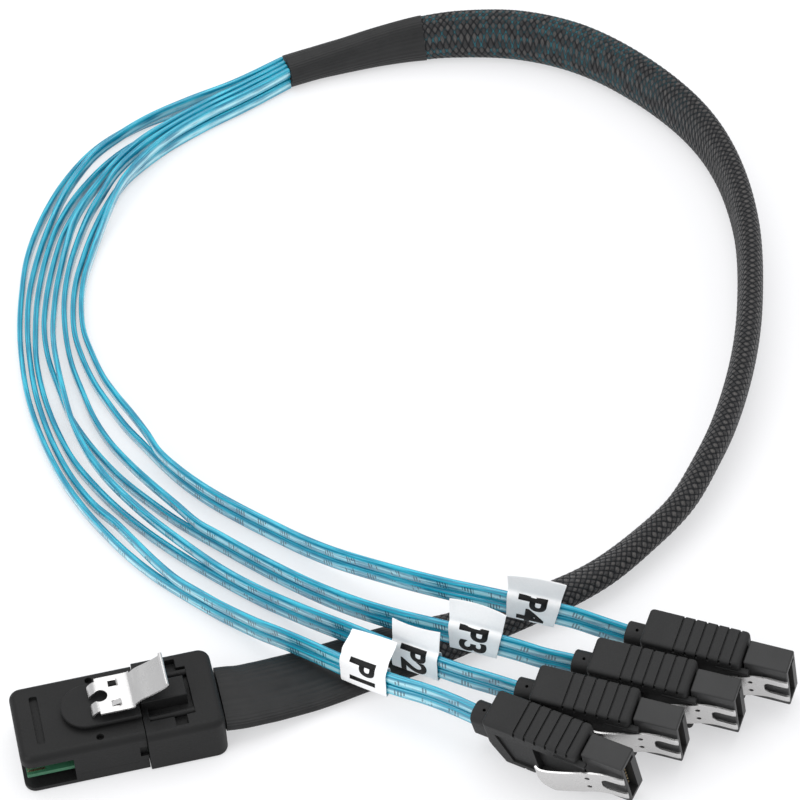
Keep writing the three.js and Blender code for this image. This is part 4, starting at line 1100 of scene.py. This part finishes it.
class MakeDrivePlugs(bpy.types.Operator):
    """Models one small plug and copies it to its four places"""

    bl_idname = "cable.make_drive_plugs"
    bl_label = "Small plugs"

    def overmold(self):
        mold = block((4.4, -MOLD_HALF, 0), (MOLD_FRONT, MOLD_HALF, MOLD_TALL))
        round_edges(mold, lambda m, d: True, 0.9, 4)
        heel = prism([(0, -1), (8.2, -1), (7.8, 0), (5, 7.2), (0, 7.2)], -6, 6, "Y")
        cut(mold, heel)
        relief = block((0, -2.6, 3.55), (7, 2.6, 11.95))
        round_edges(relief, lambda m, d: abs(d.x) > 0.9, 2.1, 6)
        round_edges(relief, lambda m, d: m.x < 0.05, 0.35, 3)
        weld(mold, relief)
        cut(mold, rod((2.4, 0, 12), 0.35, 3))
        for index in range(6):
            x = GRIP_FIRST + index * GRIP_PITCH
            for low, high, core in ((14.3, 17, (10, 15.05)), (-1.5, 1.2, (0.45, 5))):
                ring = block((x - 0.24, -6, low), (x + 0.24, 6, high))
                cut(ring, block((x - 1, -3.75, core[0]), (x + 1, 3.75, core[1])))
                cut(mold, ring)
        panel = prism([(9.5, 2.2), (14.9, 2.2), (14.9, 12), (6.9, 12)], 3.7, 9, "Y")
        well = block((15.6, -9, 2.6), (29, -2.6, 12))
        cut(mold, panel, well, block((21.1, -1.4, 2.65), (29, 2.6, 12.85)))
        rail = block((20.5, -4.45, 12.2), (27.6, -3.1, 13.2))
        soften(rail, 0.2, 2)
        weld(mold, rail)
        return soften(mold, 0.07, 2, 50)

    def nose(self):
        nose = block((26.1, -2.7, 0.85), (35.3, 2.7, 14.65))
        soften(nose, 0.35, 3)
        cut(nose, block((28.3, -1.9, 1.95), (37, 0.7, 13.55)), block((28.3, -1.9, 12.45), (37, 1.8, 13.55)))
        weld(nose, block((21.4, -1.1, 2.95), (27, 2.3, 12.55)))
        return soften(nose, 0.08, 2, 50)

    def contacts(self):
        comb = block((28.6, -0.075, 3.6), (29.6, 0.275, 11.9))
        for index in range(7):
            z = 3.94 + index * CONTACT_PITCH
            beam = block((29.5, -0.075, z - 0.35), (33.8, 0.275, z + 0.35))
            weld(comb, beam)
        return soften(comb, 0.06, 2, 50)

    def latch(self, pressed):
        path = (
            (35.5, -3.15), (34.9, -3.35), (34, -3.45), (31, -3.75), (28.4, -4.4), (25.7, -5.5),
            (22.4, -6.7), (20, -7.4), (18.6, -7.5), (17.6, -7.1),
        )
        latch = prism(strip_outline(path, 0.4), 3.95, 11.55)
        slot = block((30.5, -9, 5.85), (37, 0, 9.65))
        round_edges(slot, lambda m, d: abs(d.y) > 0.9 and m.x < 31, 1.2, 6)
        taper = prism([(10, 2), (21, 2), (21, 3.95), (10, 13.5)], -1, 12, "Y")
        cut(latch, slot, taper)
        cut(latch, rod((27.8, -4, 6.1), 0.5, 4, "Y"), rod((27.8, -4, 9.4), 0.5, 4, "Y"))
        soften(latch, 0.06, 2, 50)
        pivot = Vector((34.6 * MM, -3.4 * MM, 0))
        turn = Matrix.Rotation(math.radians(-pressed), 4, "Z")
        return settle(latch, Matrix.Translation(pivot) @ turn @ Matrix.Translation(-pivot))

    def execute(self, context):
        masters = (
            (tidied(self.overmold()), "drive_overmold", "mold_grey"),
            (tidied(self.nose()), "drive_nose", "nose_grey"),
            (tidied(self.contacts()), "drive_contacts", "contact_gold"),
        )
        for port in range(4):
            place = drive_place(port)
            for master, node, slot in masters:
                name = f"{node}_{port + 1}"
                dress(copied(master, place), name + "_piece", slot, "root", name)
            name = f"drive_latch_{port + 1}"
            latch = settle(tidied(self.latch(LATCH_PRESSED[port])), place)
            dress(latch, name + "_piece", "latch_steel", name, name)
        for master, _, _ in masters:
            bpy.data.objects.remove(master)
        return {"FINISHED"}


class MakeFlags(bpy.types.Operator):
    """Wraps a printed paper flag around each pair of leads"""

    bl_idname = "cable.make_flags"
    bl_label = "Paper flags"

    def outline(self, lean):
        """The sheet's way around the pair: down one side of the tongue, under, and up again."""
        low, half, top = -3.75, 1.15, 10.0
        bend = math.radians(lean)
        tongue = []
        for rise in (1.4, 3.0, 4.5, 5.8):
            turn = bend * min(1.0, rise / 3.5)
            tongue.append((-math.sin(turn) * rise * 0.9, 4.1 + rise * math.cos(turn * 0.8)))
        near = [(x - 0.09, y) for x, y in reversed(tongue)]
        far = [(x + 0.09, y) for x, y in tongue]
        around = [
            (-0.16, 4.3), (-0.8, 3.7), (-half, 2.9), (-half, 0), (-half, -3.0), (-0.8, low + 0.12),
            (0, low), (0.8, low + 0.12), (half, -3.0), (half, 0), (half, 2.9), (0.8, 3.7), (0.16, 4.3),
        ]
        return smooth_line(np.array([*near, *around, *far]), 6)[0]

    def sheet(self, port, route, place, line):
        """A grid wrapped around the pair, thickened to a paper's thickness."""
        nothing_selected()
        bpy.ops.mesh.primitive_grid_add(x_subdivisions=len(line) - 1, y_subdivisions=24, size=1)
        piece = bpy.context.object
        mesh = piece.data
        flat = np.empty(len(mesh.vertices) * 3)
        mesh.vertices.foreach_get("co", flat)
        flat = flat.reshape(-1, 3)
        step = np.rint((flat[:, 0] + 0.5) * (len(line) - 1)).astype(int)
        points = self.on_flag(port, route, place, line[step], flat[:, 1])
        mesh.vertices.foreach_set("co", points.ravel())
        mesh.update()
        return finished(piece, "SOLIDIFY", thickness=0.09 * MM, offset=0.0)

    def on_flag(self, port, route, place, spot, along):
        """Points of the section, carried to shares of the flag's length, -0.5 to 0.5."""
        share = (place + along * FLAG_LONG) * MM / route.length
        centre, way = route.at(share)
        side = np.stack([-way[:, 1], way[:, 0], np.zeros(len(way))], 1)
        side /= np.linalg.norm(side, axis=1)[:, None]
        up = np.cross(way, side)
        high = np.clip((spot[:, 1] - 3.5) / 6.0, 0, 1)
        curl = high**2 * (along * 2) ** 2 * (0.9, -0.5, 0.7, 0.5)[port]
        curl = curl + high * along * (1.2, 0.5, -0.8, 0.6)[port]
        return centre + side * (spot[:, :1] + curl[:, None]) * MM + up * spot[:, 1:2] * MM

    def lettering(self, port, route, place, line):
        """The port's name, printed around the lower half of the flag."""
        nothing_selected()
        bpy.ops.object.text_add()
        text = bpy.context.object
        text.data.body = f"P{port + 1}"
        text.data.size = 7.8
        text.data.offset = 0.24
        text.data.space_character = 1.02
        bpy.ops.object.convert(target="MESH")
        piece = bpy.context.object
        bpy.ops.object.mode_set(mode="EDIT")
        for x in np.arange(0.4, 11.0, 0.4):
            bpy.ops.mesh.select_all(action="SELECT")
            bpy.ops.mesh.bisect(plane_co=(x, 0, 0), plane_no=(1, 0, 0))
        bpy.ops.object.mode_set(mode="OBJECT")
        mesh = piece.data
        flat = np.empty(len(mesh.vertices) * 3)
        mesh.vertices.foreach_get("co", flat)
        flat = flat.reshape(-1, 3)
        # The near side of the sheet, from the neck down and around the bottom.
        reach = np.concatenate([[0], np.cumsum(np.linalg.norm(np.diff(line, axis=0), axis=1))])
        tall = flat[:, 1].max()
        start = reach[-1] - 5.8 + 0.2
        where = start - flat[:, 0]
        spot = np.stack([np.interp(where, reach, line[:, k]) for k in range(2)], 1)
        ahead = np.stack([np.interp(where + 0.1, reach, line[:, k]) for k in range(2)], 1)
        way = ahead - spot
        way /= np.linalg.norm(way, axis=1)[:, None]
        spot = spot + np.stack([way[:, 1], -way[:, 0]], 1) * 0.085
        along = (tall / 2 - flat[:, 1]) / FLAG_LONG
        points = self.on_flag(port, route, place, spot, along)
        mesh.vertices.foreach_set("co", points.ravel())
        mesh.update()
        return finished(piece, "SOLIDIFY", thickness=0.03 * MM, offset=0.0)

    def execute(self, context):
        for port, (place, lean) in enumerate(FLAGS):
            route = Route([(x, y, z + RISE / 2) for x, y, z in LEAD_PAIRS[port]])
            line = self.outline(lean)
            name = f"port_label_{port + 1}"
            sheet = tidied(self.sheet(port, route, place, line), 40)
            dress(sheet, name + "_piece", "label_paper", "root", name)
            dress(self.lettering(port, route, place, line), name + "_print", "print_ink", "root")
        return {"FINISHED"}


class FinishSolids(bpy.types.Operator):
    """Gives the solids that stay their finishes"""

    bl_idname = "cable.finish_solids"
    bl_label = "Remaining solids"

    def execute(self, context):
        slots = {part["node"]: part["material_slot"] for part in frame["record"]["subparts"]}
        for name, solid in frame["nodes"].items():
            if solid.hide_render:
                continue
            solid.data.materials.clear()
            solid.data.materials.append(finish_of(slots[name]))
        return {"FINISHED"}


class CablePanel(bpy.types.Panel):
    """Buttons for every piece of the breakout cable"""

    bl_idname = "VIEW3D_PT_breakout_cable"
    bl_label = "Breakout cable"
    bl_space_type = "VIEW_3D"
    bl_region_type = "UI"
    bl_category = "Cable"

    def draw(self, context):
        for operator in OPERATORS:
            self.layout.operator(operator.bl_idname)


OPERATORS = (
    MakeStage, MakeSleeve, MakeFlags, MakeLeads, MakeHostPlug, MakeDrivePlugs, FinishSolids,
)
GROUPS = (("cable_sleeve", CableSleeve), ("cable_leads", CableLeads), ("cable_stage", CableStage))


def register():
    for name, group in GROUPS:
        bpy.utils.register_class(group)
        setattr(bpy.types.Scene, name, PointerProperty(type=group))
    for part in (*OPERATORS, CablePanel):
        bpy.utils.register_class(part)


def unregister():
    for part in reversed((*OPERATORS, CablePanel)):
        bpy.utils.unregister_class(part)
    for name, group in reversed(GROUPS):
        delattr(bpy.types.Scene, name)
        bpy.utils.unregister_class(group)


def main():
    register()
    for operator in OPERATORS:
        family, action = operator.bl_idname.split(".")
        getattr(getattr(bpy.ops, family), action)()


if __name__ == "__main__":
    main()
